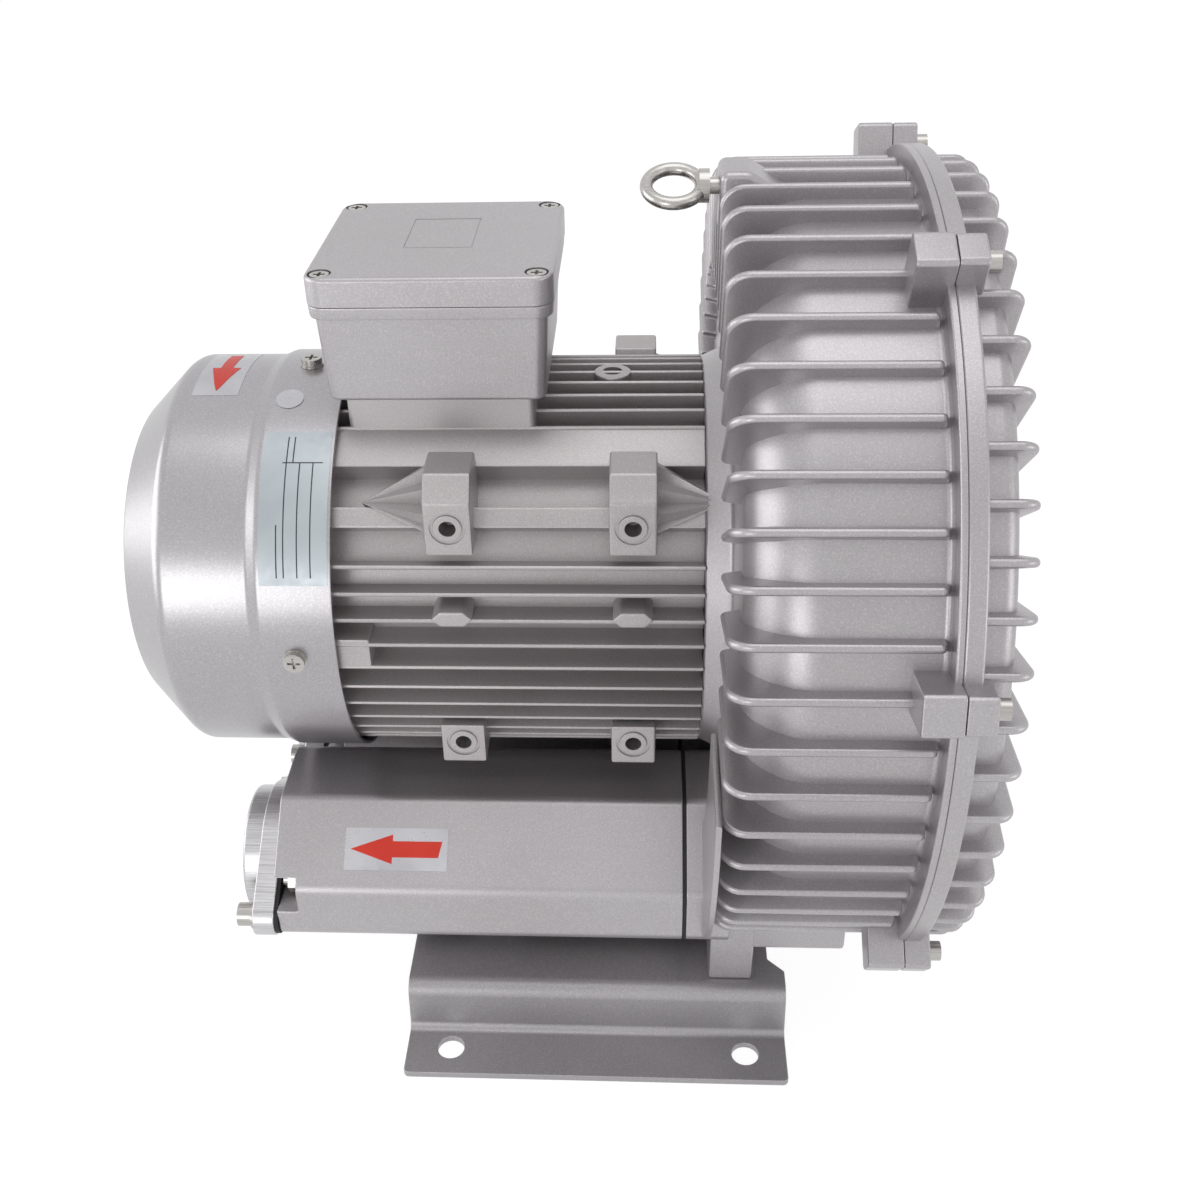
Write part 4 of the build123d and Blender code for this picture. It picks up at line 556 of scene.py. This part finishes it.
class BLOWER_OT_finishes(bpy.types.Operator):
    """Makes the materials and gives every CAD node its own"""

    bl_idname = "blower.finishes"
    bl_label = "Finishes"

    def execute(self, context):
        # Satin silver on drum, cover, box and silencers: a soft white peak that falls off to grey
        cast_paint(CAST, "#B2AFB2", "#A8A4A7", 0.36)
        # The same paint where the fins shade each other: a little duller and darker
        cast_paint(FINS, "#B9B5B6", "#AEA9AA", 0.42, metallic=0.6)
        # Smooth pressed sheet: a tighter highlight and hardly any grain
        cast_paint(PRESSED, "#ABA9AC", "#A2A0A3", 0.30, metallic=0.9, skin=0.08)
        # The castings' silver paint on the mounting foot, made greyer and darker as painted shade, and flatter
        cast_paint(FOOT, "#A9A6A9", "#9E9B9E", 0.40, metallic=0.6)
        # Fine tool lines and a bright, slightly streaked highlight
        brushed(ALUMINIUM, "#CECDCF", "#B4B2B4", 0.30)
        # Faintly warm plated fasteners with small bright glints
        brushed("Zinc-plated steel", "#BDBBB8", "#ABA8A4", 0.27)
        # Dark ground steel with close lines along the shaft
        brushed("Ground shaft steel", "#A9A9AB", "#85858A", 0.22)
        # Mirror-like rings and balls
        brushed("Polished bearing steel", "#CBCBCD", "#B4B4B8", 0.12)
        # Yellow metal terminals, dulled in streaks
        brushed("Brass studs", "#D1AE5C", "#A9873F", 0.28)
        # Bluish satin plate that stands out from the warmer paint round it
        moulded(PLATE, "#BAC1C5", "#AEB5BA", 0.38, size_mm=2.0, metallic=0.6, bump=0.1)
        # Matt black with a powdery skin
        moulded("Black rubber", "#1A1A1B", "#0E0E0F", 0.62)
        # Open, light-eating foam
        moulded("Grey acoustic foam", "#3A3A3C", "#262628", 0.85, size_mm=2.5, bump=1.0)
        # Red-brown wire under varnish, glossy in strands
        moulded(
            "Varnished copper wire", "#A5562C", "#7A3A1C", 0.35, size_mm=1.4, metallic=0.7, bump=0.8
        )
        # Dull black moulding
        moulded("Black terminal plastic", "#1D1D20", "#131315", 0.45)
        # Mid-grey moulding with an even satin skin
        moulded("Grey gland plastic", "#8E9093", "#7D7F83", 0.42)
        # Black moulding a little rougher than the terminal board
        moulded("Black fan plastic", "#18181A", "#101012", 0.5)
        # Pale foil that catches the light more than the paint
        moulded(LABEL, "#C9C8CC", "#BAB9BE", 0.3, size_mm=3.0, metallic=0.5, bump=0.15)
        # Flat signal red ink
        moulded("Red arrow print", "#E2341F", "#D42C18", 0.42, size_mm=0.6, bump=0.1)
        # Thin dark ink of the ruled plate
        moulded("Dark plate print", "#3A3D42", "#2C2F34", 0.5, size_mm=0.6, bump=0.1)
        # Punched sheets seen as thin lines
        laminated("Laminated core steel")
        slots = material_slots()
        for name, piece in frame["nodes"].items():
            finish = bpy.data.materials[SLOT_FINISH[slots[name]]]
            if not piece.material_slots:
                piece.data.materials.append(finish)
            for place in piece.material_slots:
                place.material = finish
        return {"FINISHED"}


def shell_point(x, radius, centre, inward):
    """The point on a rounded shell's inner line that is nearest to an outer point."""
    centre_x, centre_r, reach, side = centre
    across = max(0.0, side * (x - centre_x)) * side
    up = max(0.0, radius - centre_r)
    length = math.hypot(across, up)
    if up == 0:
        return centre_x + side * (reach - inward), radius
    if across == 0:
        return x, centre_r + reach - inward
    return centre_x + across / length * (reach - inward), centre_r + up / length * (reach - inward)


def rib_mesh(name, path, centre, root, crest):
    """One rib: flat sides that stand on the shell and a round crest that follows the path."""
    rows = []
    for x, radius in path:
        x2, r2 = shell_point(x, radius, centre, 3.0)
        height = max(math.hypot(x - x2, radius - r2), 0.01)
        ahead, up = (x - x2) / height, (radius - r2) / height
        half = crest / 2
        section = [(root / 2, 0.0)]
        section += [
            (half * math.cos(t), height - half + half * math.sin(t))
            for t in (math.radians(90 * step / 5) for step in range(6))
        ]
        both = [(-across, rise) for across, rise in section[:-1]] + [section[-1]]
        both += [(across, rise) for across, rise in section[-2::-1]]
        rows.append(
            [((x2 + ahead * h) * MM, across * MM, (r2 + up * h) * MM) for across, h in both]
        )
    count = len(rows[0])
    verts = [point for row in rows for point in row]
    faces = [tuple(range(count)), tuple(range(len(verts) - 1, len(verts) - count - 1, -1))]
    for row in range(len(rows) - 1):
        for corner in range(count):
            after = (corner + 1) % count
            a, b = row * count, (row + 1) * count
            faces.append((a + corner, a + after, b + after, b + corner))
    return new_piece(name, verts, faces)


def ring_bosses(name, half, low_x, high_x, edge):
    """The seven screw bosses of one casing half."""
    corners = [(-half, 192), (half, 192), (half - 0.6, 225.6), (0.6 - half, 225.6)]
    outline = rounded(corners, [0, 0, 2.5, 2.5], 4)
    boss = eased(prism(name, outline, low_x, high_x), edge, angle=50)
    return ring_of(boss, BOSS_COUNT, BOSS_FIRST, 360 / BOSS_COUNT, CAST)


def rib_ring(name, path, centre, sizes, phase):
    """All ribs of one casing half, from the path of one rib's crest."""
    rib = rib_mesh(name, path, centre, sizes.rib_root, sizes.rib_crest)
    return ring_of(rib, sizes.rib_count, phase, 360 / sizes.rib_count, CAST)


class BLOWER_OT_casing(bpy.types.Operator):
    """Builds the motor-side casing with its ribs, bosses, port stubs and legs"""

    bl_idname = "blower.casing"
    bl_label = "Motor-side casing"

    def execute(self, context):
        sizes = context.scene.blower_sizes
        # From the motor pad up the face, round the drum's corner to the rim, then back inside
        corners = [
            (96, 98), (55, 98), (55, 105), (68, 111), (68, 200), (150.6, 200),
            (152, 203), (152, PARTING_R), (PARTING_X, PARTING_R), (PARTING_X, 193), (100, 193),
            (96, 150),
        ]
        radii = [0, 0, 2, 4, 32, 3, 2, 1.2, 0, 0, 0, 0]
        shell = turned("casing_shell", rounded(corners, radii, 10), 216)
        crest = [(70, 150), (59.5, 153), (59.5, 207), (149, 207), (151, 197.2)]
        path = rounded(crest, [0, 2, 12, 2.5, 0], 7)
        ribs = rib_ring("casing_rib", path, (100, 168, 32, -1), sizes, sizes.casing_phase)
        bosses = ring_bosses("casing_bosses", 10.2, 137, PARTING_X, sizes.edge)
        rim = arc_bar("port_rim", 95, 265, 150, 211, 57, 60, steps=60)
        saddle = eased(block("saddle", (66, -117, 58), (137, 117, 100)), 2.0)
        parts = [shell, ribs, bosses, rim, saddle]
        for side in (-1, 1):
            parts.append(eased(prism("stub", silencer_outline(side), 48.5, 72), 0.8))
            low, high = sorted((side * 88, side * 118))
            parts.append(eased(block("leg", (62.5, low, 34), (87, high, 100)), 2.0))
        boss = rounded([(60, 180), (60, 211), (74, 211), (94, 199), (94, 180)], [0, 4, 10, 0, 0], 5)
        top = prism("eye_boss", [(x, radius + SHAFT) for x, radius in boss], -15, 15, "Y")
        parts.append(eased(top, 3.0, segments=3, angle=50))
        finished(joined("casing_body", *parts), "stator", CAST, "casing_motor_half")
        return {"FINISHED"}


class BLOWER_OT_cover(bpy.types.Operator):
    """Builds the ribbed casing cover"""

    bl_idname = "blower.cover"
    bl_label = "Casing cover"

    def execute(self, context):
        sizes = context.scene.blower_sizes
        # From the parting plane round the rim and the face to the middle, then back inside
        corners = [
            (PARTING_X, 180), (PARTING_X, PARTING_R), (164, PARTING_R), (164, 203), (165.5, 200),
            (180, 200), (180, 108), (172, 108), (172, 0), (167, 0), (167, 100), (172, 150),
            (165, 180),
        ]
        radii = [0, 1.5, 1.5, 2, 1, 15, 2.5, 3, 0, 0, 0, 0, 0]
        shell = turned("cover_shell", rounded(corners, radii, 8), 216)
        path = rounded([(163, 207), (187, 207), (187, 119), (177, 116)], [0, 8, 2, 0], 7)
        ribs = rib_ring("cover_rib", path, (165, 185, 15, 1), sizes, sizes.cover_phase)
        bosses = ring_bosses("cover_bosses", 9.4, PARTING_X, 168, sizes.edge)
        whole = joined("cover_body", shell, ribs, bosses)
        finished(whole, "stator", CAST, "casing_cover")
        return {"FINISHED"}


def silencer_outline(side):
    """The silencer's eight-sided section with rounded corners."""
    half = [(22, 40), (62, 80), (62, 111), (22, 143)]
    points = [(-22, 40), *half, (-22, 143), (-62, 111), (-62, 80)]
    return rounded([(side * PORT_Y + y, z) for y, z in points], 9)


class BLOWER_OT_motor(bpy.types.Operator):
    """Builds the finned motor frame with its lugs and pads"""

    bl_idname = "blower.motor"
    bl_label = "Motor frame"

    def execute(self, context):
        sizes = context.scene.blower_sizes
        back, front = FRAME_ENDS
        tube = turned("frame_tube", [(back, 82), (back, 90), (front, 90), (front, 82)], 144)
        root, tip = sizes.fin_root / 2, sizes.fin_tip / 2
        flank = [(root, FRAME_R), (tip, 105.2), (tip * 0.5, 106)]
        section = [(-root, FRAME_R), *flank, (-tip * 0.5, 106), (-tip, 105.2)]
        parts = [tube]
        for count, first, step in ((9, -25.2, 6.3), (16, 64.9, 7.4), (16, -64.9, -7.4)):
            fin = eased(prism("fin", section, *FRAME_ENDS), 0.5, segments=1, angle=50)
            parts.append(ring_of(fin, count, first, step, FINS))
        for side in (-1, 1):
            for start, stop, radius in ((25.2, 37.4, 105), (48.6, 54.4, 104)):
                arc = side * start, side * stop
                parts.append(arc_bar("shoulder", *arc, FRAME_R, radius, *FRAME_ENDS))
            parts.append(gusset("rear_gusset", side, -113, -80))
            parts.append(gusset("front_gusset", side, 64, 31))
        section = [(-8.5, FRAME_R), (8.5, FRAME_R), (8.5, 105.5), (-8.5, 105.5)]
        ears = ((back, -111, 4, 0, 90), (32, front, 2, 148.7, 62.6))
        for low, high, count, first, step in ears:
            ear = eased(prism("ear", section, low, high), 1.2, angle=30)
            parts.append(ring_of(ear, count, first, step, FINS))
        whole = joined("motor_body", *parts, *frame_lugs(sizes.edge))
        finished(whole, "stator", FINS, "motor_frame")
        return {"FINISHED"}


def arc_bar(name, start, stop, inner, outer, low, high, steps=8):
    """A bar along the shaft that covers an arc between two radii."""
    turns = [math.radians(start + (stop - start) * step / steps) for step in range(steps + 1)]
    points = [(-outer * math.sin(t), SHAFT + outer * math.cos(t)) for t in turns]
    points += [(-inner * math.sin(t), SHAFT + inner * math.cos(t)) for t in reversed(turns)]
    return eased(prism(name, points, low, high), 0.8, angle=50)


def gusset(name, side, tip_x, base_x):
    """The pleated web that fans out from a point to the side of an upper lug."""
    folds = [
        (36, 105), (38.5, 111), (41.5, 106), (45, 112),
        (48, 105), (51.5, 111), (54, 105), (56, 107),
    ]
    tip_angle = side * 47.5
    verts = [round_shaft(tip_x, tip_angle, 104.8), round_shaft(tip_x, tip_angle, FRAME_R)]
    verts += [round_shaft(base_x, side * angle, radius) for angle, radius in folds]
    verts += [round_shaft(base_x, side * angle, FRAME_R) for angle, _ in folds]
    count = len(folds)
    faces = [(0, 1, 2 + count, 2), (0, 1 + count, 1 + 2 * count, 1)]
    for fold in range(count - 1):
        here = 2 + fold
        faces.append((0, here, here + 1))
        faces.append((1, here + count + 1, here + count))
        faces.append((here, here + count, here + count + 1, here + 1))
    return new_piece(name, verts, faces)


def round_bar(name, place, radius, low, high, axis="X", steps=32):
    """A round bar at a place across the axis, in millimetres."""
    turns = [2 * math.pi * step / steps for step in range(steps)]
    outline = [(place[0] + radius * math.cos(t), place[1] + radius * math.sin(t)) for t in turns]
    return prism(name, outline, low, high, axis)


def sunk_ring(lug, place, face, side):
    """The lug with a round seat and a hole in its outer face, and the ring in the seat."""
    reach = sorted((side * 80, side * 110))
    seat = sorted((side * (face - 0.8), side * (face + 5)))
    rim = sorted((side * (face - 3), side * (face + 0.2)))
    seat_tool = round_bar("seat", place, 8.8, *seat, "Y")
    lug = cut(lug, seat_tool, round_bar("hole", place, 4.2, *reach, "Y"))
    ring = eased(round_bar("ring", place, 7.2, *rim, "Y"), 0.7, angle=50)
    return [lug, cut(ring, round_bar("hole", place, 4.2, *reach, "Y"))]


def frame_lugs(edge):
    """The frame's lugs with their sunk rings, its hexagonal pads, pedestal and top boss."""
    parts = []
    upper = [(95, 51), (95, 79.5), (91, 83.5), (86, 91), (64, 92), (58, 80), (58, 51)]
    lower = [(70, -74), (98, -74), (98, -50), (70, -50)]
    pad = [(-10.5, 20.2), (-6, 16), (6, 16), (10.5, 20.2), (6, 24.4), (-6, 24.4)]
    for side in (-1, 1):
        for centre in LUG_X:
            ends = centre - 11.5, centre + 11.5
            lugs = []
            for name, outline in (("upper_lug", upper), ("lower_lug", lower)):
                points = [(side * y, SHAFT + z) for y, z in outline]
                lugs.append(eased(prism(name, points, *ends), edge, angle=30))
            for lug, height, face in zip(lugs, (66, -61), (95, 98)):
                parts += sunk_ring(lug, (centre, SHAFT + height), face, side)
            points = [(centre + x, SHAFT + z) for x, z in pad]
            wide = sorted((side * 80, side * 105))
            parts.append(eased(prism("hex_pad", points, *wide, "Y"), 1.4))
    foot, top = SHAFT + 70, SHAFT + 113.5
    section = [(-45.5, foot), (45.5, foot), (45.5, top), (-45.5, top)]
    parts.append(eased(prism("pedestal", section, -122, -29), 3.0, segments=3, angle=30))
    place = (8.5, 0)
    boss = round_bar("top_boss", place, 9.6, SHAFT + FRAME_R, SHAFT + 106, "Z")
    hole = round_bar("hole", place, 5.0, SHAFT + 96, SHAFT + 110, "Z")
    parts.append(cut(eased(boss, 1.0, angle=50), hole))
    return parts


class BLOWER_OT_cowl(bpy.types.Operator):
    """Builds the spun sheet cowl with its air slots"""

    bl_idname = "blower.cowl"
    bl_label = "Fan cowl"

    def execute(self, context):
        # The sheet's outside from its open rim to the middle of its end, then its inside
        corners = [
            (-127, 108.5), (-127, COWL_R), (-164, COWL_R), (-170, COWL_WAIST_R),
            (-214.5, COWL_WAIST_R), (-240, 82), (-240, 0), (-238.5, 0), (-238.5, 81.3),
            (-213.8, 106), (-169.8, 106), (-163.8, 108.5),
        ]
        radii = [0, 0.5, 7, 7, 9, 5, 0, 0, 4, 8, 7, 7]
        shell = turned("cowl_body", rounded(corners, radii, 8), 216)
        grille_r, pitch, slot_half = 70, 9, 2.5
        slots = []
        for row in range(-7, 8):
            half = math.sqrt(grille_r**2 - (row * pitch) ** 2)
            low, high = SHAFT + row * pitch - slot_half, SHAFT + row * pitch + slot_half
            ends = [(-half, low), (half, low), (half, high), (-half, high)]
            slots.append(prism("slot", rounded(ends, 2.4, 4), -245, -235))
        finished(cut(shell, joined("slots", *slots)), "stator", PRESSED, "fan_cowl")
        return {"FINISHED"}


class BLOWER_OT_box_lid(bpy.types.Operator):
    """Builds the terminal box lid with its sunk screw seats"""

    bl_idname = "blower.box_lid"
    bl_label = "Terminal box lid"

    def execute(self, context):
        half, pitch = 58.5, 50.75
        left, right = BOX_X - half, BOX_X + half
        square = rounded([(left, -half), (right, -half), (right, half), (left, half)], 10, 10)
        lid = eased(prism("lid_body", square, 400, BOX_TOP, "Z"), 2.2, segments=4, angle=50)
        trim = block("trim", (-150, -80, 390), (0, 80, 411.3))
        tools = [trim, block("mark", (-92, -16, 425.0), (-58, 29, 430))]
        for x in (BOX_X - pitch, BOX_X + pitch):
            for y in (-pitch, pitch):
                tools.append(round_bar("seat", (x, y), 5.7, 422.3, 430, "Z"))
        island = eased(block("island", (-91.3, -15.3, 424), (-58.7, 28.3, BOX_TOP)), 0.2)
        lid = joined("lid", cut(lid, joined("seats", *tools)), island)
        finished(lid, "stator", CAST, "terminal_box_lid")
        return {"FINISHED"}


def drafted(name, low, high, low_half, high_half, corner):
    """A square body with rounded corners that widens from its foot to its rim."""
    verts = []
    for level, half in ((low, low_half), (high, high_half)):
        square = [(-half, -half), (half, -half), (half, half), (-half, half)]
        verts += [((BOX_X + a) * MM, b * MM, level * MM) for a, b in rounded(square, corner, 8)]
    return new_piece(name, verts, prism_faces(len(verts) // 2))


class BLOWER_OT_box_base(bpy.types.Operator):
    """Builds the drafted terminal box base with its lip"""

    bl_idname = "blower.box_base"
    bl_label = "Terminal box base"

    def execute(self, context):
        body = eased(drafted("base_body", 361.5, 409.8, 53, 55.5, 6), 2.0, segments=3, angle=50)
        body = cut(body, drafted("cavity", 365, 412, 49.5, 52.2, 4))
        lip = eased(drafted("lip", 404.6, 411.0, 57.8, 58.2, 9), 1.0, angle=50)
        lip = cut(lip, drafted("opening", 400, 415, 54.4, 54.9, 5))
        gland = round_bar("gland_hole", (BOX_X, 385.5), 12.8, 45, 60, "Y")
        base = joined("box_base_body", cut(body, gland), lip)
        finished(base, "stator", CAST, "terminal_box_base")
        return {"FINISHED"}


class BLOWER_OT_soft_copies(bpy.types.Operator):
    """Rounds the edges of the remaining cast, pressed and turned pieces"""

    bl_idname = "blower.soft_copies"
    bl_label = "Cast and pressed pieces"

    def execute(self, context):
        wanted = (
            ("outlet_silencer", 1.0, CAST),
            ("inlet_silencer", 1.0, CAST),
            ("outlet_port_flange", 0.8, ALUMINIUM),
            ("inlet_port_flange", 0.8, ALUMINIUM),
            ("foot_bracket", 0.6, FOOT),
        )
        for node, width, finish in wanted:
            copy = eased(cad_copy(node, f"{node}_body"), width, angle=30)
            finished(copy, "stator", finish, node)
        thread = []
        for turn in range(10):
            start = PORT_MOUTH + turn * THREAD_PITCH
            thread += [(start, THREAD_ROOT), (start + 1.15, THREAD_CREST)]
        thread += [(PORT_END, THREAD_ROOT), (PORT_END, 29.9), (PORT_MOUTH, 29.9)]
        rings = [turned("port_thread", thread, 96, (side * PORT_Y, PORT_Z)) for side in (-1, 1)]
        finished(joined("port_threads", *rings), "stator", ALUMINIUM)
        return {"FINISHED"}


def printed(name, outline, origin, across, down, low, high):
    """A thin print on a flat face: an outline in two directions, between two heights above it."""
    along, slope = Vector(across).normalized(), Vector(down).normalized()
    out = slope.cross(along)
    out = out if out.z > 0 else -out
    verts = []
    for level in (low, high):
        verts += [(Vector(origin) + along * u + slope * v + out * level) * MM for u, v in outline]
    return new_piece(name, verts, prism_faces(len(outline)))


def wrapped(name, rows, low, high):
    """A thin print round the shaft: rows of (from x, to x, angle), between two radii."""
    verts = []
    for start, stop, angle in rows:
        for x, radius in ((start, low), (stop, low), (stop, high), (start, high)):
            verts.append(round_shaft(x, angle, radius))
    last = 4 * (len(rows) - 1)
    faces = [(0, 1, 2, 3), (last + 3, last + 2, last + 1, last)]
    for row in range(len(rows) - 1):
        a, b = 4 * row, 4 * row + 4
        faces += [(a + k, a + (k + 1) % 4, b + (k + 1) % 4, b + k) for k in range(4)]
    return new_piece(name, verts, faces)


class BLOWER_OT_prints(bpy.types.Operator):
    """Prints the plain red arrows and the ruled lines of the nameplate"""

    bl_idname = "blower.prints"
    bl_label = "Prints"

    def execute(self, context):
        arrow = [(-25, 0), (-2, -8), (-2, -4.4), (25, -4.4), (23, 4.4), (-2, 4.4), (-2, 8)]
        flows = []
        for side, way in ((-1, 1), (1, -1)):
            origin, down = (-108, side * 114, 125.4), (0, side * 40, -32)
            points = [(way * u, v) for u, v in arrow]
            flows.append(printed("flow_arrow", points, origin, (1, 0, 0), down, 0.12, 0.32))
        middle = -194
        shaft = [(-197.2, -190.8, -13 + step * 2) for step in range(7)]
        taper = (-1, 7.5), (1, 6.4), (3, 5.3), (5, 4.2), (7, 3.1), (9, 2.0), (11.4, 0.4)
        head = [(middle - half, middle + half, angle) for angle, half in taper]
        turn_arrow = wrapped("turn_arrow", shaft + head, 107.6, 107.9)
        finished(joined("arrows", *flows, turn_arrow), "stator", "Red arrow print")
        ink = 110.1, 110.27
        rules = (
            (-153.6, 54, 67.5),
            (-150.1, 30, 67.5),
            (-146.9, 30, 37.6),
            (-143.4, 37.6, 67.5),
            (-136.8, 37.6, 67.5),
        )
        lines = []
        for x, start, stop in rules:
            rows = [(x - 0.3, x + 0.3, start + (stop - start) * step / 16) for step in range(17)]
            lines.append(wrapped("rule", rows, *ink))
        lines.append(wrapped("rule", [(-152, -132, 37.4), (-152, -132, 37.7)], *ink))
        finished(joined("plate_rules", *lines), "stator", "Dark plate print")
        rows = [(-162.5, -128.5, 28.3 + 41.2 * step / 40) for step in range(41)]
        finished(wrapped("plate", rows, 109.9, 110.2), "stator", PLATE, "nameplate")
        rows = [(-206, -182, -17 + 30.7 * step / 30) for step in range(31)]
        finished(wrapped("turn_label", rows, 107.4, 107.7), "stator", LABEL, "rotation_label")
        return {"FINISHED"}


def shown_rays(tree):
    """One for rays that show the background: those of the camera, of reflections and of glass."""
    rays = add_node(tree, "ShaderNodeLightPath").outputs
    first = add_node(tree, "ShaderNodeMath", {"operation": "MAXIMUM"}, i0=rays["Is Camera Ray"])
    tree.links.new(rays["Is Glossy Ray"], first.inputs[1])
    second = add_node(tree, "ShaderNodeMath", {"operation": "MAXIMUM"}, i0=first.outputs[0])
    tree.links.new(rays["Is Transmission Ray"], second.inputs[1])
    return second.outputs[0]


def look_matrix():
    """The camera's place and turn, worked out from the photograph's perspective."""
    pitch, yaw, roll = math.radians(PITCH_DOWN), math.radians(YAW), math.radians(ROLL)
    level = math.cos(pitch)
    ahead = Vector((math.sin(yaw) * level, math.cos(yaw) * level, -math.sin(pitch)))
    right = Vector((math.cos(yaw), -math.sin(yaw), 0))
    up = right.cross(ahead)
    across = math.cos(roll) * right + math.sin(roll) * up
    upward = -math.sin(roll) * right + math.cos(roll) * up
    turn = Matrix((across, upward, -ahead)).transposed().to_4x4()
    return Matrix.Translation(EYE) @ turn


def soft_lamp(name, place, target, size, power):
    """A square soft lamp at a place, turned to its target."""
    lamp = bpy.data.lights.new(name, "AREA")
    lamp.shape = "SQUARE"
    lamp.size = size
    lamp.energy = power
    holder = bpy.data.objects.new(name, lamp)
    bpy.context.scene.collection.objects.link(holder)
    holder.location = place
    holder.rotation_mode = "QUATERNION"
    holder.rotation_quaternion = (Vector(target) - Vector(place)).to_track_quat("-Z", "Y")
    return holder


class BLOWER_OT_stage(bpy.types.Operator):
    """Sets up the floor, the surroundings, the lamps and the camera"""

    bl_idname = "blower.stage"
    bl_label = "Stage"

    def execute(self, context):
        light = context.scene.blower_light
        world = bpy.data.worlds.new("White studio")
        context.scene.world = world
        world.use_nodes = True
        tree = world.node_tree
        tree.nodes.clear()
        strength = remap(tree, shown_rays(tree), 0.0, 1.0, light.sky, 1.0)
        sky = add_node(tree, "ShaderNodeBackground", None, Color=(1, 1, 1, 1), Strength=strength)
        output = add_node(tree, "ShaderNodeOutputWorld")
        tree.links.new(sky.outputs[0], output.inputs[0])

        tree, main, _ = shader("White studio floor")
        main.inputs["Base Color"].default_value = (*light.floor, 1)
        main.inputs["Roughness"].default_value = 0.9
        glow = add_node(tree, "ShaderNodeEmission", None, Color=(1, 1, 1, 1), Strength=1.15)
        share = remap(tree, shown_rays(tree), 0.0, 1.0, 0.0, 0.8)
        mixed = add_node(
            tree, "ShaderNodeMixShader", None, i0=share, i1=main.outputs[0], i2=glow.outputs[0]
        )
        tree.links.new(mixed.outputs[0], tree.nodes["Material Output"].inputs[0])
        reach = 3000
        corners = [(-reach, -reach), (reach, -reach), (reach, reach), (-reach, reach)]
        floor = prism("studio_floor", corners, -10, 0, "Z")
        floor.data.materials.append(bpy.data.materials["White studio floor"])

        centre = (-0.02, 0.0, 0.22)
        soft_lamp("Front softbox", (-0.85, -1.8, 0.45), centre, 0.8, light.front)
        soft_lamp("Left softbox", (-1.9, -0.1, 0.5), centre, 1.6, light.left)
        soft_lamp("Top lamp", (0.1, -0.2, 2.1), centre, 1.3, light.top)
        soft_lamp("Right lamp", (1.6, -0.9, 0.5), centre, 0.9, light.right)

        camera = bpy.data.cameras.new("Camera")
        camera.sensor_width = SENSOR
        camera.lens = FOCAL / PICTURE * SENSOR
        camera.shift_x = (PICTURE / 2 - SIGHT[0]) / PICTURE
        camera.shift_y = (SIGHT[1] - PICTURE / 2) / PICTURE
        camera.clip_start = 0.01
        holder = bpy.data.objects.new("Camera", camera)
        context.scene.collection.objects.link(holder)
        holder.matrix_world = look_matrix()
        context.scene.camera = holder
        context.scene.view_settings.view_transform = "Standard"
        return {"FINISHED"}


class BLOWER_PT_panel(bpy.types.Panel):
    """Lists the blower's sizes, light and steps"""

    bl_idname = "BLOWER_PT_panel"
    bl_label = "Side channel blower"
    bl_space_type = "VIEW_3D"
    bl_region_type = "UI"
    bl_category = "Blower"

    def draw(self, context):
        for group in (context.scene.blower_sizes, context.scene.blower_light):
            for key in group.__annotations__:
                self.layout.prop(group, key)
        for step in STEPS:
            self.layout.operator(step.bl_idname)


STEPS = (
    BLOWER_OT_finishes,
    BLOWER_OT_casing,
    BLOWER_OT_cover,
    BLOWER_OT_motor,
    BLOWER_OT_cowl,
    BLOWER_OT_box_lid,
    BLOWER_OT_box_base,
    BLOWER_OT_soft_copies,
    BLOWER_OT_prints,
    BLOWER_OT_stage,
)
CLASSES = (BlowerSizes, BlowerLight, *STEPS, BLOWER_PT_panel)


def register():
    """Registers the classes and hangs the property groups on the scene."""
    for item in CLASSES:
        bpy.utils.register_class(item)
    bpy.types.Scene.blower_sizes = bpy.props.PointerProperty(type=BlowerSizes)
    bpy.types.Scene.blower_light = bpy.props.PointerProperty(type=BlowerLight)


def unregister():
    """Takes the property groups and classes away."""
    del bpy.types.Scene.blower_light
    del bpy.types.Scene.blower_sizes
    for item in reversed(CLASSES):
        bpy.utils.unregister_class(item)


def main():
    """Runs every step in order."""
    register()
    for step in STEPS:
        group, name = step.bl_idname.split(".")
        getattr(getattr(bpy.ops, group), name)()
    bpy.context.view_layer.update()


if __name__ == "__main__":
    main()
